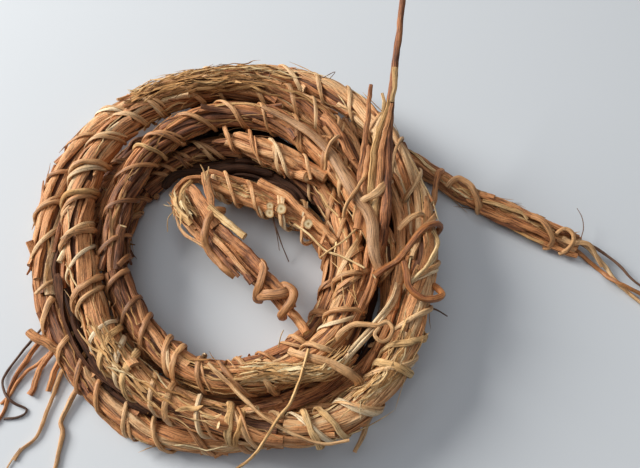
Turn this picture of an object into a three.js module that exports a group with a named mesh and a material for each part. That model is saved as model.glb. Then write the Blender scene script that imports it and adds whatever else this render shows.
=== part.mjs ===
// A rope of vetiver roots: a bundle of root sticks bound by a thin spiral root and wound into a flat coil.
// Millimetres, +Z up. The coil lies on the plane z = 0.
import * as THREE from 'three';
import { mergeVertices } from 'three/addons/utils/BufferGeometryUtils.js';

// Driving dimensions
const ropeReach = 4.0; // radius of the full bundle over its binding root
const startReach = 3.6; // radius of the first turn, which tapers into the outer tail
const tailReach = 3.3; // radius of the two tails
const tailTaper = 0.9; // how much thinner the inner tail is at its tip
const innerReach = 3.1; // radius of the innermost turn, where it is tightest
const looseGain = 1.1; // how much thicker the innermost turn is at its open end
const bindingPitch = 10; // distance between two wraps of the binding root
const bindingShare = 0.36; // part of the pitch that a wrap covers
const grooveDepth = 0.86; // a groove between two roots, as a share of the reach
const stickHeight = 0.93; // the back of a root stick, as a share of the reach
const ropeSides = 8;
const ringStep = 3.5; // distance between two rings of the rope
const endGap = 0.4; // gap left where one stretch of the rope meets the next
const pressed = 0.8; // how far the turns have settled and pressed flat on the surface
const restBand = 1; // the rope's underside lies flat where it comes this near the surface
const rootSides = 6;
const rootStep = 5; // distance between two rings of a single root
const stripWidth = 3.8; // the grey bark strip across the top of the coil
const stripThickness = 1.2;
const stripTaper = 0.3; // how much narrower the strip is at its ends
const frameOrigin = [25.5, 5.1]; // middle of the whole plan, in the coordinates of the lists below

// The route from the outer tail inwards, counter-clockwise seen from above: x, y and height of the middle.
const outerTail = [
  [95, 5, 3.3], [90, 8, 3.4], [82, 12, 3.5], [74, 16, 3.6], [66, 20, 3.7], [58, 25.5, 3.8], [50, 31.5, 3.8],
];
const firstTurn = [
  [42.5, 36.5, 3.9], [33, 41.5, 4.0], [22, 46, 4.0], [9, 47.8, 4.2], [-5, 47.5, 4.3], [-18, 44.5, 4.3],
  [-29.5, 38, 4.3], [-39, 27, 4.3], [-43.5, 13, 4.3], [-44.5, -1, 4.3], [-41, -13, 4.3], [-35.5, -23.5, 4.3],
  [-27, -32, 4.3], [-16, -37, 4.3], [-3, -38.5, 4.3], [9, -37, 4.3], [20, -32.5, 4.3], [28, -25, 4.3],
];
const secondTurn = [
  [31.5, -16, 4.3], [33.8, -6, 4.3], [36, 3, 4.4], [37.5, 12, 5.3], [35.5, 22, 7.6], [29.5, 33, 10.2],
  [20.8, 43, 11.8], [8.5, 50, 12.3], [-5, 52.5, 12.3], [-18, 50, 12.3], [-29.5, 44, 12.5], [-38.5, 34, 12.9],
  [-43, 22.5, 13], [-43.8, 11, 13], [-41.3, -2, 13], [-37, -14, 13], [-30.5, -26, 13], [-21.5, -35.5, 13],
  [-10, -42, 13], [1.5, -45.5, 13],
];
const thirdTurn = [
  [13.5, -47, 12.8], [22.5, -46, 12.6], [30.5, -42, 12.7], [36.5, -36.5, 12.8], [41, -30.5, 12.8],
  [44.5, -22, 13], [47.5, -12, 13], [49.5, -1, 13.5], [48.5, 13.5, 14], [44, 27, 13.8], [38, 40, 12.3],
  [26, 52.5, 9.5], [12, 60, 7], [-3, 62, 5.5], [-16, 60.5, 5], [-31, 54.8, 4.8], [-44, 45, 4.6],
  [-52, 31, 4.5], [-55, 18, 4.4], [-54.5, 3, 4.3],
];
const fourthTurn = [
  [-51.4, -12, 4.3], [-45.2, -23, 4.3], [-38, -32.4, 4.3], [-29.4, -39.9, 4.3], [-20, -45.7, 4.2],
  [-7.5, -47.7, 4.2], [5, -47, 4.2], [17, -43.5, 4.2], [28, -36.5, 4.2], [36.5, -28, 4.3], [41, -18, 4.8],
  [41.5, -8, 7.8], [38.8, 1, 12], [34.5, 10, 13.9], [29, 20, 13.9], [21, 30.5, 13.6], [13, 37.5, 13.6],
  [3.5, 41.5, 13.4], [-7, 42, 13.2], [-17, 38, 13.2], [-24.5, 31.5, 13], [-29.5, 23.5, 12.5],
  [-32.5, 14, 12], [-33.2, 3.5, 11.7],
];
const fifthTurn = [
  [-31.5, -7, 11], [-26.5, -17, 10.5], [-20, -25, 10.5], [-12, -31.3, 12], [-2, -35, 13], [8, -34.8, 13],
  [16.5, -32, 13], [24, -26, 13], [28.5, -17.5, 13], [30.3, -6, 12], [29.5, 3, 10.3], [27, 11, 8.6],
  [23, 18.5, 8], [17, 25.5, 7.8], [8, 31.5, 7.6], [-1, 35, 6.8], [-11, 35.5, 5.2], [-21, 31, 4],
];
const innerTurn = [
  [-29.5, 21.5, 3.6], [-34, 8, 3.6], [-33.5, -7, 3.6], [-28, -19.5, 3.5], [-19, -28, 3.5], [-8, -31, 3.5],
  [2.5, -30.5, 3.5], [13, -26.5, 3.5], [21.5, -19, 3.5], [25.3, -9.5, 3.4], [26, -1, 3.3], [23, 6, 3.8],
  [19, 11, 5], [14, 14.5, 6.3], [8, 17, 7], [2, 18.5, 7.3], [-4, 20, 7.6], [-9.5, 21.8, 7.8],
];
// The inner tail starts at the fold, beside the end of the innermost turn, and crosses the opening.
const innerTail = [
  [-16, 18, 8.6], [-11.5, 12.3, 8.6], [-6.8, 5.2, 8.6], [0.5, -2.8, 8.6], [7.4, -8.8, 8.6], [13.6, -15.4, 8.8],
];

const turns = [outerTail, firstTurn, secondTurn, thirdTurn, fourthTurn, fifthTurn, innerTurn];

function curveThrough(points) {
  const places = points.map(([x, y, z]) => new THREE.Vector3(x, y, z));
  return new THREE.CatmullRomCurve3(places, false, 'centripetal');
}

// The part of a longer route between two of its numbered points
class Stretch extends THREE.Curve {
  constructor(route, first, last) {
    super();
    this.route = route;
    this.first = first;
    this.last = last;
  }

  getPoint(t, target = new THREE.Vector3()) {
    const lastIndex = this.route.points.length - 1;
    return this.route.getPoint((this.first + (this.last - this.first) * t) / lastIndex, target);
  }
}

function roundSection(radius, sides) {
  const outline = new THREE.Shape();
  for (let i = 0; i < sides; i += 1) {
    const angle = (2 * Math.PI * i) / sides;
    const place = [radius * Math.cos(angle), radius * Math.sin(angle)];
    if (i === 0) outline.moveTo(...place);
    else outline.lineTo(...place);
  }
  return outline;
}

// A tube along a path whose points are moved: reshape gives the new offset of each from the path middle.
// No point goes below the surface, and those closer to it than flatBand lie on it.
function shapedTube(path, sides, steps, flatBand, reshape) {
  const options = { steps, bevelEnabled: false, extrudePath: path };
  const geometry = new THREE.ExtrudeGeometry(roundSection(1, sides), options);
  geometry.deleteAttribute('normal');
  geometry.deleteAttribute('uv');
  const tube = mergeVertices(geometry, 1e-4);
  const middles = path.getSpacedPoints(steps);
  const frames = path.computeFrenetFrames(steps, false);
  const length = path.getLength();
  const place = tube.getAttribute('position');
  const corner = new THREE.Vector3();
  for (let i = 0; i < place.count; i += 1) {
    corner.fromBufferAttribute(place, i);
    let ring = 0;
    middles.forEach((middle, k) => {
      if (corner.distanceToSquared(middle) < corner.distanceToSquared(middles[ring])) ring = k;
    });
    const offset = corner.clone().sub(middles[ring]);
    const angle = Math.atan2(offset.dot(frames.binormals[ring]), offset.dot(frames.normals[ring]));
    const share = ring / steps;
    const moved = reshape({ offset, angle, share, along: share * length, tangent: frames.tangents[ring] });
    corner.copy(middles[ring]).add(moved);
    place.setXYZ(i, corner.x, corner.y, corner.z < flatBand ? 0 : corner.z);
  }
  return tube;
}

// A stretch of the bound bundle: grooves between its root sticks, and a raised spiral for the binding root.
function boundBundle(path, reachAt) {
  const steps = Math.round(path.getLength() / ringStep);
  return shapedTube(path, ropeSides, steps, restBand, ({ offset, angle, share, along }) => {
    const phase = along / bindingPitch - angle / (2 * Math.PI);
    const onWrap = phase - Math.floor(phase) < bindingShare;
    const side = Math.round((angle * ropeSides) / (2 * Math.PI));
    const height = onWrap ? 1 : side % 2 === 0 ? stickHeight : grooveDepth;
    return offset.multiplyScalar(reachAt(share) * height);
  });
}

// A single root: a round tube that tapers from one end to the other
function singleRoot(points, startRadius, endRadius) {
  const path = curveThrough(points);
  const steps = Math.max(points.length - 1, Math.round(path.getLength() / rootStep));
  return shapedTube(path, rootSides, steps, 0, ({ offset, share }) => (
    offset.multiplyScalar(startRadius + (endRadius - startRadius) * share)
  ));
}

// A strip of bark: wide in plan, thin in height, narrower towards its ends
function barkStrip(points) {
  const path = curveThrough(points);
  const steps = Math.round(path.getLength() / rootStep);
  return shapedTube(path, rootSides, steps, 0, ({ offset, share, tangent }) => {
    const across = new THREE.Vector3(-tangent.y, tangent.x, 0).normalize();
    const fullness = 1 - stripTaper + stripTaper * Math.sin(Math.PI * share);
    const sideways = across.multiplyScalar(offset.dot(across) * (stripWidth / 2) * fullness);
    return sideways.setZ(offset.z * (stripThickness / 2));
  });
}

const bark = {
  orangeBrown: { color: 0xb5713a, roughness: 0.72 },
  tan: { color: 0xc8a06a, roughness: 0.8 },
  brown: { color: 0x8b5233, roughness: 0.74 },
  greyBrown: { color: 0x8c6a52, roughness: 0.66 },
  redBrown: { color: 0x8a4a28, roughness: 0.5 },
  pale: { color: 0xd9b983, roughness: 0.85 },
  darkRoot: { color: 0x4d3324, roughness: 0.7 },
};

const object = new THREE.Group();
object.position.set(-frameOrigin[0], -frameOrigin[1], 0);

function addPiece(name, geometry, finish) {
  const piece = new THREE.Mesh(geometry, new THREE.MeshStandardMaterial({ ...finish, metalness: 0 }));
  piece.name = name;
  object.add(piece);
}

// Lowers a list of points by the amount that the coil has settled
function settled(points) {
  return points.map(([x, y, z]) => [x, y, z - pressed]);
}

// The rope, one node for each turn, all on one unbroken route. Each row has the radius at both ends.
const ropeRoute = curveThrough(settled(turns.flat()));
const indexGap = (endGap / ropeRoute.getLength()) * (ropeRoute.points.length - 1);
const ropeStretches = [
  { name: 'outer_tail_rope', reach: [tailReach, tailReach], finish: bark.tan },
  { name: 'first_turn_rope', reach: [tailReach, startReach], finish: bark.brown },
  { name: 'second_turn_rope', reach: [ropeReach, ropeReach], finish: bark.orangeBrown },
  { name: 'third_turn_rope', reach: [ropeReach, ropeReach], finish: bark.tan },
  { name: 'fourth_turn_rope', reach: [ropeReach, ropeReach], finish: bark.orangeBrown },
  { name: 'fifth_turn_rope', reach: [startReach, ropeReach], finish: bark.brown },
  { name: 'inner_turn_rope', reach: [innerReach, innerReach], loose: looseGain, finish: bark.orangeBrown },
];
let firstIndex = 0;
ropeStretches.forEach(({ name, reach, loose = 0, finish }, i) => {
  const lastIndex = Math.min(firstIndex + turns[i].length, ropeRoute.points.length - 1);
  const isFirst = i === 0;
  const isLast = i === ropeStretches.length - 1;
  const from = isFirst ? firstIndex : firstIndex + indexGap / 2;
  const to = isLast ? lastIndex : lastIndex - indexGap / 2;
  const path = new Stretch(ropeRoute, from, to);
  const reachAt = (share) => reach[0] + (reach[1] - reach[0]) * share + loose * share ** 4;
  addPiece(name, boundBundle(path, reachAt), finish);
  firstIndex = lastIndex;
});
const innerTailPath = curveThrough(settled(innerTail));
const tailReachAt = (share) => tailReach - tailTaper * share;
addPiece('inner_tail_rope', boundBundle(innerTailPath, tailReachAt), bark.orangeBrown);

// Single roots that stand out of the rope or lie on it. Radii are those of the start and the tip.
const rootsOnRope = {
  upright_stick: {
    points: [
      [39, 6, 20.6], [39.5, 13, 21.4], [40, 23, 24.4], [40.5, 32.5, 29], [41.5, 40.5, 33], [43, 51.5, 38],
      [44, 60, 42],
    ],
    radii: [1.1, 0.6],
    finish: bark.brown,
  },
  upright_sheath: {
    points: [[36.8, 13, 20.4], [36.5, 22, 22.9], [37.5, 29.5, 26]],
    radii: [1, 0.7],
    finish: bark.pale,
  },
  standing_stub: {
    points: [[33, 19, 19.6], [34.5, 30, 22.4], [36, 43, 26]],
    radii: [0.9, 0.5],
    finish: bark.orangeBrown,
  },
  red_binding_root: {
    points: [
      [37, -9.5, 18.9], [41.5, -6.5, 19.2], [46, -1, 19.7], [50, 3, 19.8], [54, 4.5, 18.2], [55.4, 4.5, 15.6],
    ],
    radii: [0.75, 0.7],
    finish: bark.redBrown,
  },
  red_hook_root: {
    points: [[43.5, -10, 19.2], [44, -13.5, 19], [47.5, -16.5, 19], [51, -16.5, 18.2], [53, -14.5, 17]],
    radii: [0.75, 0.65],
    finish: bark.redBrown,
  },
  long_loose_root: {
    points: [
      [-2, -34.5, 18.6], [5, -41, 19], [10.5, -45.5, 19], [17.5, -49, 18.6], [24, -50.5, 17.6],
      [28.5, -49.5, 17.4],
    ],
    radii: [0.55, 0.35],
    finish: bark.tan,
  },
  thin_hanging_root: {
    points: [
      [18.5, -32, 18.8], [17, -37.5, 18.8], [15, -42, 19.6], [12.5, -45.5, 20.3], [9.5, -50, 18.6],
      [6, -53, 12], [2, -55, 7],
    ],
    radii: [0.45, 0.35],
    finish: bark.pale,
  },
  loose_end_stick: {
    points: [[36.5, -38.8, 7.2], [33.5, -44.5, 5.9], [32, -48, 5.2], [30.5, -51, 4.7]],
    radii: [1, 0.5],
    finish: bark.tan,
  },
  inner_pale_stub: {
    points: [[-3.5, 7.5, 13.2], [-0.5, 4.8, 13.4], [2, 2.5, 13.4]],
    radii: [1.1, 1.1],
    finish: bark.pale,
  },
  inner_frayed_stub: {
    points: [[-8, 12, 13.6], [-9, 16.5, 14], [-10, 22, 14.5]],
    radii: [0.9, 0.9],
    finish: bark.orangeBrown,
  },
  inner_single_stick: {
    points: [[14.2, -16.2, 8.8], [16.4, -19, 9.2], [18.6, -22.6, 9.8]],
    radii: [1.3, 1.2],
    finish: bark.orangeBrown,
  },
  tail_stub: {
    points: [[56, 24.5, 8.6], [54.5, 18.5, 8.2], [53, 12.5, 7.8]],
    radii: [1, 0.8],
    finish: bark.brown,
  },
};
Object.entries(rootsOnRope).forEach(([name, { points, radii, finish }]) => {
  addPiece(name, singleRoot(settled(points), ...radii), finish);
});

// The smooth strip of grey bark that lies across the top of the coil
const greyStrip = [
  [5.5, 40.5, 19.4], [10.5, 37.5, 19.5], [18.5, 31, 19.6], [23.5, 25.5, 19.7], [28, 18, 19.8],
  [32.5, 10, 19.8], [36, 4, 19.2], [38, -4, 17.2],
];
addPiece('grey_bark_strip', barkStrip(settled(greyStrip)), bark.greyBrown);

// Single roots that lie on the surface, at the outer tail and at the coil's lower left
const rootsOnFloor = {
  tail_tan_root: {
    points: [[98.4, 3.6, 2.4], [101, 1, 1.5], [105, -6.5, 1], [110, -12, 0.8], [112.5, -14.5, 0.6]],
    radii: [0.75, 0.5],
    finish: bark.tan,
  },
  tail_red_root: {
    points: [[97, 0.2, 1], [101, -3, 0.8], [104, -6.9, 2.9], [110.5, -10, 1.6], [113, -12, 0.6]],
    radii: [0.6, 0.5],
    finish: bark.redBrown,
  },
  tail_knotted_root: {
    points: [[98.5, 5.9, 3.4], [102.5, 2.8, 3], [108, -3, 2.2], [111, -6.5, 1.5], [113, -8.5, 0.8]],
    radii: [0.45, 0.3],
    finish: bark.darkRoot,
  },
  dark_wiry_root: {
    points: [
      [-54.6, -22.2, 1.2], [-57.1, -25.8, 0.7], [-60.1, -31.4, 0.6],
      [-60.4, -33.1, 0.8], [-58.8, -36.1, 1.4], [-57.4, -37.6, 1.6], [-55.8, -38.8, 1.1],
      [-52.9, -40.1, 0.4], [-53.1, -41.2, 0.4], [-55.1, -42.3, 0.4], [-58, -42.5, 0.4],
    ],
    radii: [0.4, 0.3],
    finish: bark.darkRoot,
  },
  brown_floor_root: {
    points: [
      [-53, -24, 1.4], [-55, -27.6, 1], [-57.1, -31.5, 0.8], [-58, -35.1, 0.6],
      [-58.2, -38.5, 0.5], [-59, -42, 0.5], [-61.9, -45.6, 0.4],
    ],
    radii: [0.85, 0.35],
    finish: bark.brown,
  },
  forked_floor_root: {
    points: [
      [-49.3, -26.9, 1.6], [-50.9, -29.4, 1.2], [-51.3, -32.1, 1],
      [-51.9, -35.1, 0.8], [-52.7, -36.7, 0.8],
    ],
    radii: [0.85, 0.75],
    finish: bark.orangeBrown,
  },
  stub_floor_root: {
    points: [
      [-46.9, -29.6, 1.4], [-47.4, -33, 1.2], [-47.8, -35.7, 1],
    ],
    radii: [0.8, 0.75],
    finish: bark.orangeBrown,
  },
  long_floor_root: {
    points: [
      [-45.2, -30.9, 1.4], [-46.3, -36.2, 0.9], [-47.7, -41.8, 0.7],
      [-48.9, -47, 0.6], [-52.1, -49.8, 0.5], [-53.4, -52.5, 0.5],
    ],
    radii: [0.6, 0.35],
    finish: bark.tan,
  },
  lower_floor_root: {
    points: [
      [-40.8, -35.7, 1.4], [-42.4, -40, 1], [-43.3, -43.7, 0.8],
      [-42.7, -45.2, 0.8], [-42.7, -50, 0.7], [-42.9, -55.5, 0.6],
    ],
    radii: [0.8, 0.5],
    finish: bark.tan,
  },
  side_stub: {
    points: [
      [-50.2, -23.8, 6.7], [-51.6, -23, 6.8], [-53.1, -21.8, 6.9],
    ],
    radii: [1.2, 1.1],
    finish: bark.orangeBrown,
  },
};
Object.entries(rootsOnFloor).forEach(([name, { points, radii, finish }]) => {
  addPiece(name, singleRoot(points, ...radii), finish);
});

export default object;
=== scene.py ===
import math
import bpy
import numpy as np
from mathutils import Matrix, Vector


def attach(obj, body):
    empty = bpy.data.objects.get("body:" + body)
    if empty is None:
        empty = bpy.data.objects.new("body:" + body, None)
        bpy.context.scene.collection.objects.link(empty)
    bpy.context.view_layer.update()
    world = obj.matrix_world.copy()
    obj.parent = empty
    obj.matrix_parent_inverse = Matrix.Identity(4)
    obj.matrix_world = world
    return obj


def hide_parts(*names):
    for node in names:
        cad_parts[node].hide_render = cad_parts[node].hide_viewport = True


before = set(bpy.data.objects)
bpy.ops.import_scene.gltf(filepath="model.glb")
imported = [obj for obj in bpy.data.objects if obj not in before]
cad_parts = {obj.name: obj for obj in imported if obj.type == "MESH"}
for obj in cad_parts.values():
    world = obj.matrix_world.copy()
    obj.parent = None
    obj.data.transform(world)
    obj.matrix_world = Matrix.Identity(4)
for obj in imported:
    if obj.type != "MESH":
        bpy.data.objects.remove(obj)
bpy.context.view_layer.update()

# All lengths below are millimetres, in the route's own coordinates.
# toFrame moves them to the frame, in metres.
mm = 0.001
frameOrigin = np.array([25.5, 5.1, 0.0])   # middle of the whole plan
pressed = 0.8                              # how far the coil has settled and pressed flat


def toFrame(points):
    return (np.asarray(points, float) - frameOrigin) * mm


# Camera: the photograph looks down on the coil from its near side
view = {
    "target": (22.0, 6.0, 7.2),
    "elevation": 65.0,      # degrees above the paper
    "distance": 172.0,
    "lens": 35.0,
    "sensorWidth": 36.0,
}


def addObject(name, data):
    thing = bpy.data.objects.new(name, data)
    bpy.context.scene.collection.objects.link(thing)
    return thing


def addCamera():
    tilt = math.radians(view["elevation"])
    target = Vector(toFrame(view["target"]))
    back = Vector((0, -math.cos(tilt), math.sin(tilt)))
    data = bpy.data.cameras.new("photoCamera")
    data.lens = view["lens"]
    data.sensor_width = view["sensorWidth"]
    data.clip_start = 0.01
    data.clip_end = 20
    camera = addObject("photoCamera", data)
    camera.location = target + back * view["distance"] * mm
    camera.rotation_euler = back.to_track_quat("Z", "Y").to_euler()
    bpy.context.scene.camera = camera


addCamera()
print("camera set")

# The rope's route from the outer tail inwards, the same points as the solids: x, y and height of its middle
outerTail = [
    (95, 5, 3.3), (90, 8, 3.4), (82, 12, 3.5), (74, 16, 3.6), (66, 20, 3.7), (58, 25.5, 3.8),
    (50, 31.5, 3.8),
]
firstTurn = [
    (42.5, 36.5, 3.9), (33, 41.5, 4.0), (22, 46, 4.0), (9, 47.8, 4.2), (-5, 47.5, 4.3), (-18, 44.5, 4.3),
    (-29.5, 38, 4.3), (-39, 27, 4.3), (-43.5, 13, 4.3), (-44.5, -1, 4.3), (-41, -13, 4.3),
    (-35.5, -23.5, 4.3), (-27, -32, 4.3), (-16, -37, 4.3), (-3, -38.5, 4.3), (9, -37, 4.3),
    (20, -32.5, 4.3), (28, -25, 4.3),
]
secondTurn = [
    (31.5, -16, 4.3), (33.8, -6, 4.3), (36, 3, 4.4), (37.5, 12, 5.3), (35.5, 22, 7.6), (29.5, 33, 10.2),
    (20.8, 43, 11.8), (8.5, 50, 12.3), (-5, 52.5, 12.3), (-18, 50, 12.3), (-29.5, 44, 12.5),
    (-38.5, 34, 12.9), (-43, 22.5, 13), (-43.8, 11, 13), (-41.3, -2, 13), (-37, -14, 13), (-30.5, -26, 13),
    (-21.5, -35.5, 13), (-10, -42, 13), (1.5, -45.5, 13),
]
thirdTurn = [
    (13.5, -47, 12.8), (22.5, -46, 12.6), (30.5, -42, 12.7), (36.5, -36.5, 12.8), (41, -30.5, 12.8),
    (44.5, -22, 13), (47.5, -12, 13), (49.5, -1, 13.5), (48.5, 13.5, 14), (44, 27, 13.8), (38, 40, 12.3),
    (26, 52.5, 9.5), (12, 60, 7), (-3, 62, 5.5), (-16, 60.5, 5), (-31, 54.8, 4.8), (-44, 45, 4.6),
    (-52, 31, 4.5), (-55, 18, 4.4), (-54.5, 3, 4.3),
]
fourthTurn = [
    (-51.4, -12, 4.3), (-45.2, -23, 4.3), (-38, -32.4, 4.3), (-29.4, -39.9, 4.3), (-20, -45.7, 4.2),
    (-7.5, -47.7, 4.2), (5, -47, 4.2), (17, -43.5, 4.2), (28, -36.5, 4.2), (36.5, -28, 4.3),
    (41, -18, 4.8), (41.5, -8, 7.8), (38.8, 1, 12), (34.5, 10, 13.9), (29, 20, 13.9), (21, 30.5, 13.6),
    (13, 37.5, 13.6), (3.5, 41.5, 13.4), (-7, 42, 13.2), (-17, 38, 13.2), (-24.5, 31.5, 13),
    (-29.5, 23.5, 12.5), (-32.5, 14, 12), (-33.2, 3.5, 11.7),
]
fifthTurn = [
    (-31.5, -7, 11), (-26.5, -17, 10.5), (-20, -25, 10.5), (-12, -31.3, 12), (-2, -35, 13), (8, -34.8, 13),
    (16.5, -32, 13), (24, -26, 13), (28.5, -17.5, 13), (30.3, -6, 12), (29.5, 3, 10.3), (27, 11, 8.6),
    (23, 18.5, 8), (17, 25.5, 7.8), (8, 31.5, 7.6), (-1, 35, 6.8), (-11, 35.5, 5.2), (-21, 31, 4),
]
innerTurn = [
    (-29.5, 21.5, 3.6), (-34, 8, 3.6), (-33.5, -7, 3.6), (-28, -19.5, 3.5), (-19, -28, 3.5),
    (-8, -31, 3.5), (2.5, -30.5, 3.5), (13, -26.5, 3.5), (21.5, -19, 3.5), (25.3, -9.5, 3.4),
    (26, -1, 3.3), (23, 6, 3.8), (19, 11, 5), (14, 14.5, 6.3), (8, 17, 7), (2, 18.5, 7.3), (-4, 20, 7.6),
    (-9.5, 21.8, 7.8),
]
innerTail = [
    (-16, 18, 8.6), (-11.5, 12.3, 8.6), (-6.8, 5.2, 8.6), (0.5, -2.8, 8.6), (7.4, -8.8, 8.6),
    (13.6, -15.4, 8.8),
]
turns = [outerTail, firstTurn, secondTurn, thirdTurn, fourthTurn, fifthTurn, innerTurn]


def settled(points):
    return [(x, y, z - pressed) for x, y, z in points]


def unit(vectors):
    return vectors / np.linalg.norm(vectors, axis=-1, keepdims=True)


def smoothLine(points, step):
    # a curve through the points, at equal steps, and how far along it each point is
    perSpan = 24      # places worked out between two points
    shortest = 1e-4   # two points in one place count as this far apart
    p = np.array(points, float)
    ends = np.vstack([2 * p[0] - p[1], p, 2 * p[-1] - p[-2]])
    dense = []
    marks = []
    share = np.linspace(0, 1, perSpan, endpoint=False)[:, None]
    for i in range(len(p) - 1):
        p0, p1, p2, p3 = ends[i:i + 4]
        spans = ((p0, p1), (p1, p2), (p2, p3))
        d0, d1, d2 = (max(np.linalg.norm(b - a), shortest) ** 0.5 for a, b in spans)
        m1 = ((p1 - p0) / d0 - (p2 - p0) / (d0 + d1) + (p2 - p1) / d1) * d1
        m2 = ((p2 - p1) / d1 - (p3 - p1) / (d1 + d2) + (p3 - p2) / d2) * d1
        marks.append(len(dense))
        curve = p1 + m1 * share + (-3 * p1 + 3 * p2 - 2 * m1 - m2) * share ** 2
        dense.extend(curve + (2 * p1 - 2 * p2 + m1 + m2) * share ** 3)
    marks.append(len(dense))
    dense.append(p[-1])
    dense = np.array(dense)
    far = np.concatenate([[0], np.cumsum(np.linalg.norm(np.diff(dense, axis=0), axis=1))])
    count = max(3, int(round(far[-1] / step)) + 1)
    at = np.linspace(0, far[-1], count)
    line = np.stack([np.interp(at, far, dense[:, k]) for k in range(3)], axis=1)
    return line, far[marks]


def ropeLine(points):
    # the middle of the rope with its direction, its left side and its upper side
    line, marks = smoothLine(points, 0.5)
    ahead = unit(np.gradient(line, axis=0))
    left = unit(np.cross([0, 0, 1], ahead))
    return {
        "at": np.arange(len(line)) * np.linalg.norm(line[1] - line[0]),
        "middle": line, "left": left, "up": np.cross(ahead, left), "marks": marks,
    }


def readLine(rope, name, at):
    return np.stack([np.interp(at, rope["at"], rope[name][:, k]) for k in range(3)], axis=1)


def aroundRope(rope, at, angle, out):
    # points at a distance out from the rope's middle, and the direction that faces outwards there
    sideways = readLine(rope, "left", at) * np.cos(angle)[:, None]
    upwards = readLine(rope, "up", at) * np.sin(angle)[:, None]
    facing = unit(sideways + upwards)
    return readLine(rope, "middle", at) + facing * np.asarray(out)[:, None], facing


def wander(draw, at, wavelength):
    # changes smoothly along the length, between about -1 and 1
    waves = (1.0, 0.57, 0.31)   # each wave's share of the wavelength and of the height
    total = np.zeros(len(at))
    for part in waves:
        total += part * np.sin(2 * math.pi * at / (wavelength * part) + draw.uniform(0, 2 * math.pi))
    return total / sum(waves)


def endTaper(share, steepness, least):
    # full thickness in the middle, thinning towards both ends; share runs from 0 to 1 along the root
    return np.clip(np.minimum(share, 1 - share) * steepness, least, 1)


paperGap = 0.02                     # no root lies lower than this over the paper
sharpAngle = 48                     # an edge over this many degrees is sharp
patternShift = (7.3, 3.1, 53.0)     # how far a seed of 1 moves a root's pattern, across and along it


# Collects swept roots and turns them into one mesh
class RootMesh:
    def __init__(self):
        self.corners = []
        self.quads = []
        self.triangles = []
        self.quadFinish = []
        self.triangleFinish = []
        self.fibre = []
        self.tone = []
        self.dry = []
        self.rim = []
        self.count = 0

    def sweep(self, path, facing, outline, thick, wide, tone, seed, cut=(0.0, 0.0)):
        # outline is a closed section, x towards facing and y across
        # cut says how deep each end's middle is hollow
        # seed gives each root its own part of the skin's pattern
        n = len(path)
        k = len(outline)
        sides = n * k
        whole = sides + 2 * k + 2     # corners of the sides, of both caps' rims and of their middles
        ahead = unit(np.gradient(path, axis=0))
        first = unit(facing - np.sum(facing * ahead, axis=1, keepdims=True) * ahead)
        second = np.cross(ahead, first)
        thick = np.broadcast_to(thick, n)
        wide = np.broadcast_to(wide, n)
        x = outline[None, :, 0] * thick[:, None]
        y = outline[None, :, 1] * wide[:, None]
        ring = path[:, None, :] + first[:, None, :] * x[..., None] + second[:, None, :] * y[..., None]
        ring[..., 2] = np.maximum(ring[..., 2], paperGap)
        far = np.concatenate([[0], np.cumsum(np.linalg.norm(np.diff(path, axis=0), axis=1))])
        along = np.broadcast_to(far[:, None], x.shape)
        fibre = np.stack([x, y, along], axis=2) + seed * np.array(patternShift)
        ends = np.array([path[0] + ahead[0] * cut[0], path[-1] - ahead[-1] * cut[1]])
        ends[:, 2] = np.maximum(ends[:, 2], paperGap)
        base = self.count
        self.corners += [ring.reshape(-1, 3), ring[0], ring[-1], ends]
        capFibre = np.vstack([fibre[0], fibre[-1], [[seed, seed, 0], [seed, seed, 9]]])
        self.fibre += [fibre.reshape(-1, 3), capFibre]
        tones = np.broadcast_to(tone, n)
        self.tone += [np.repeat(tones, k), np.repeat(tones[[0, -1]], k), tones[[0, -1]]]
        self.dry.append(np.full(whole, (seed * 0.731) % 1.0))     # a share for each root, from its seed
        self.rim += [np.ones(whole - 2), np.zeros(2)]
        i = np.arange(n - 1)[:, None] * k
        j = np.arange(k)[None, :]
        nextJ = (j + 1) % k
        quad = np.stack([i + j, i + nextJ, i + k + nextJ, i + k + j], axis=2).reshape(-1, 4)
        self.quads.append(quad + base)
        self.quadFinish.append(np.zeros(len(quad), int))
        start = base + sides
        side = np.arange(k)
        turn = (side + 1) % k
        low = np.stack([start + turn, start + side, np.full(k, start + 2 * k)], axis=1)
        high = np.stack([start + k + side, start + k + turn, np.full(k, start + 2 * k + 1)], axis=1)
        self.triangles += [low, high]
        self.triangleFinish.append(np.full(2 * k, int(max(cut) > 0)))   # 1 is the pith of a hollow end
        self.count += whole

    def build(self, name, finishes):
        quads = np.concatenate(self.quads)
        triangles = np.concatenate(self.triangles)
        mesh = bpy.data.meshes.new(name)
        corners = toFrame(np.concatenate(self.corners))
        mesh.from_pydata(corners.tolist(), [], quads.tolist() + triangles.tolist())
        for finish in finishes:
            mesh.materials.append(finish)
        faceFinish = np.concatenate(self.quadFinish + self.triangleFinish)
        mesh.polygons.foreach_set("material_index", faceFinish.astype(np.int32))
        mesh.polygons.foreach_set("use_smooth", np.ones(len(mesh.polygons), bool))
        mesh.set_sharp_from_angle(angle=math.radians(sharpAngle))
        fibre = mesh.attributes.new("fibre", "FLOAT_VECTOR", "POINT")
        fibre.data.foreach_set("vector", np.concatenate(self.fibre).ravel().astype(np.float32))
        for label, values in (("tone", self.tone), ("dry", self.dry), ("rim", self.rim)):
            layer = mesh.attributes.new(label, "FLOAT", "POINT")
            layer.data.foreach_set("value", np.concatenate(values).astype(np.float32))
        mesh.validate()
        return addObject(name, mesh)


def rootOutline(draw, sides, groove=0.16, uneven=0.07):
    # a root's section: nearly round, with a few sunken grooves
    turn = np.arange(sides) * 2 * math.pi / sides
    size = 1 + draw.uniform(-uneven, uneven, sides)
    size[draw.choice(sides, max(1, sides // 4), replace=False)] -= groove
    return np.stack([np.cos(turn) * size, np.sin(turn) * size], axis=1)


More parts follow.
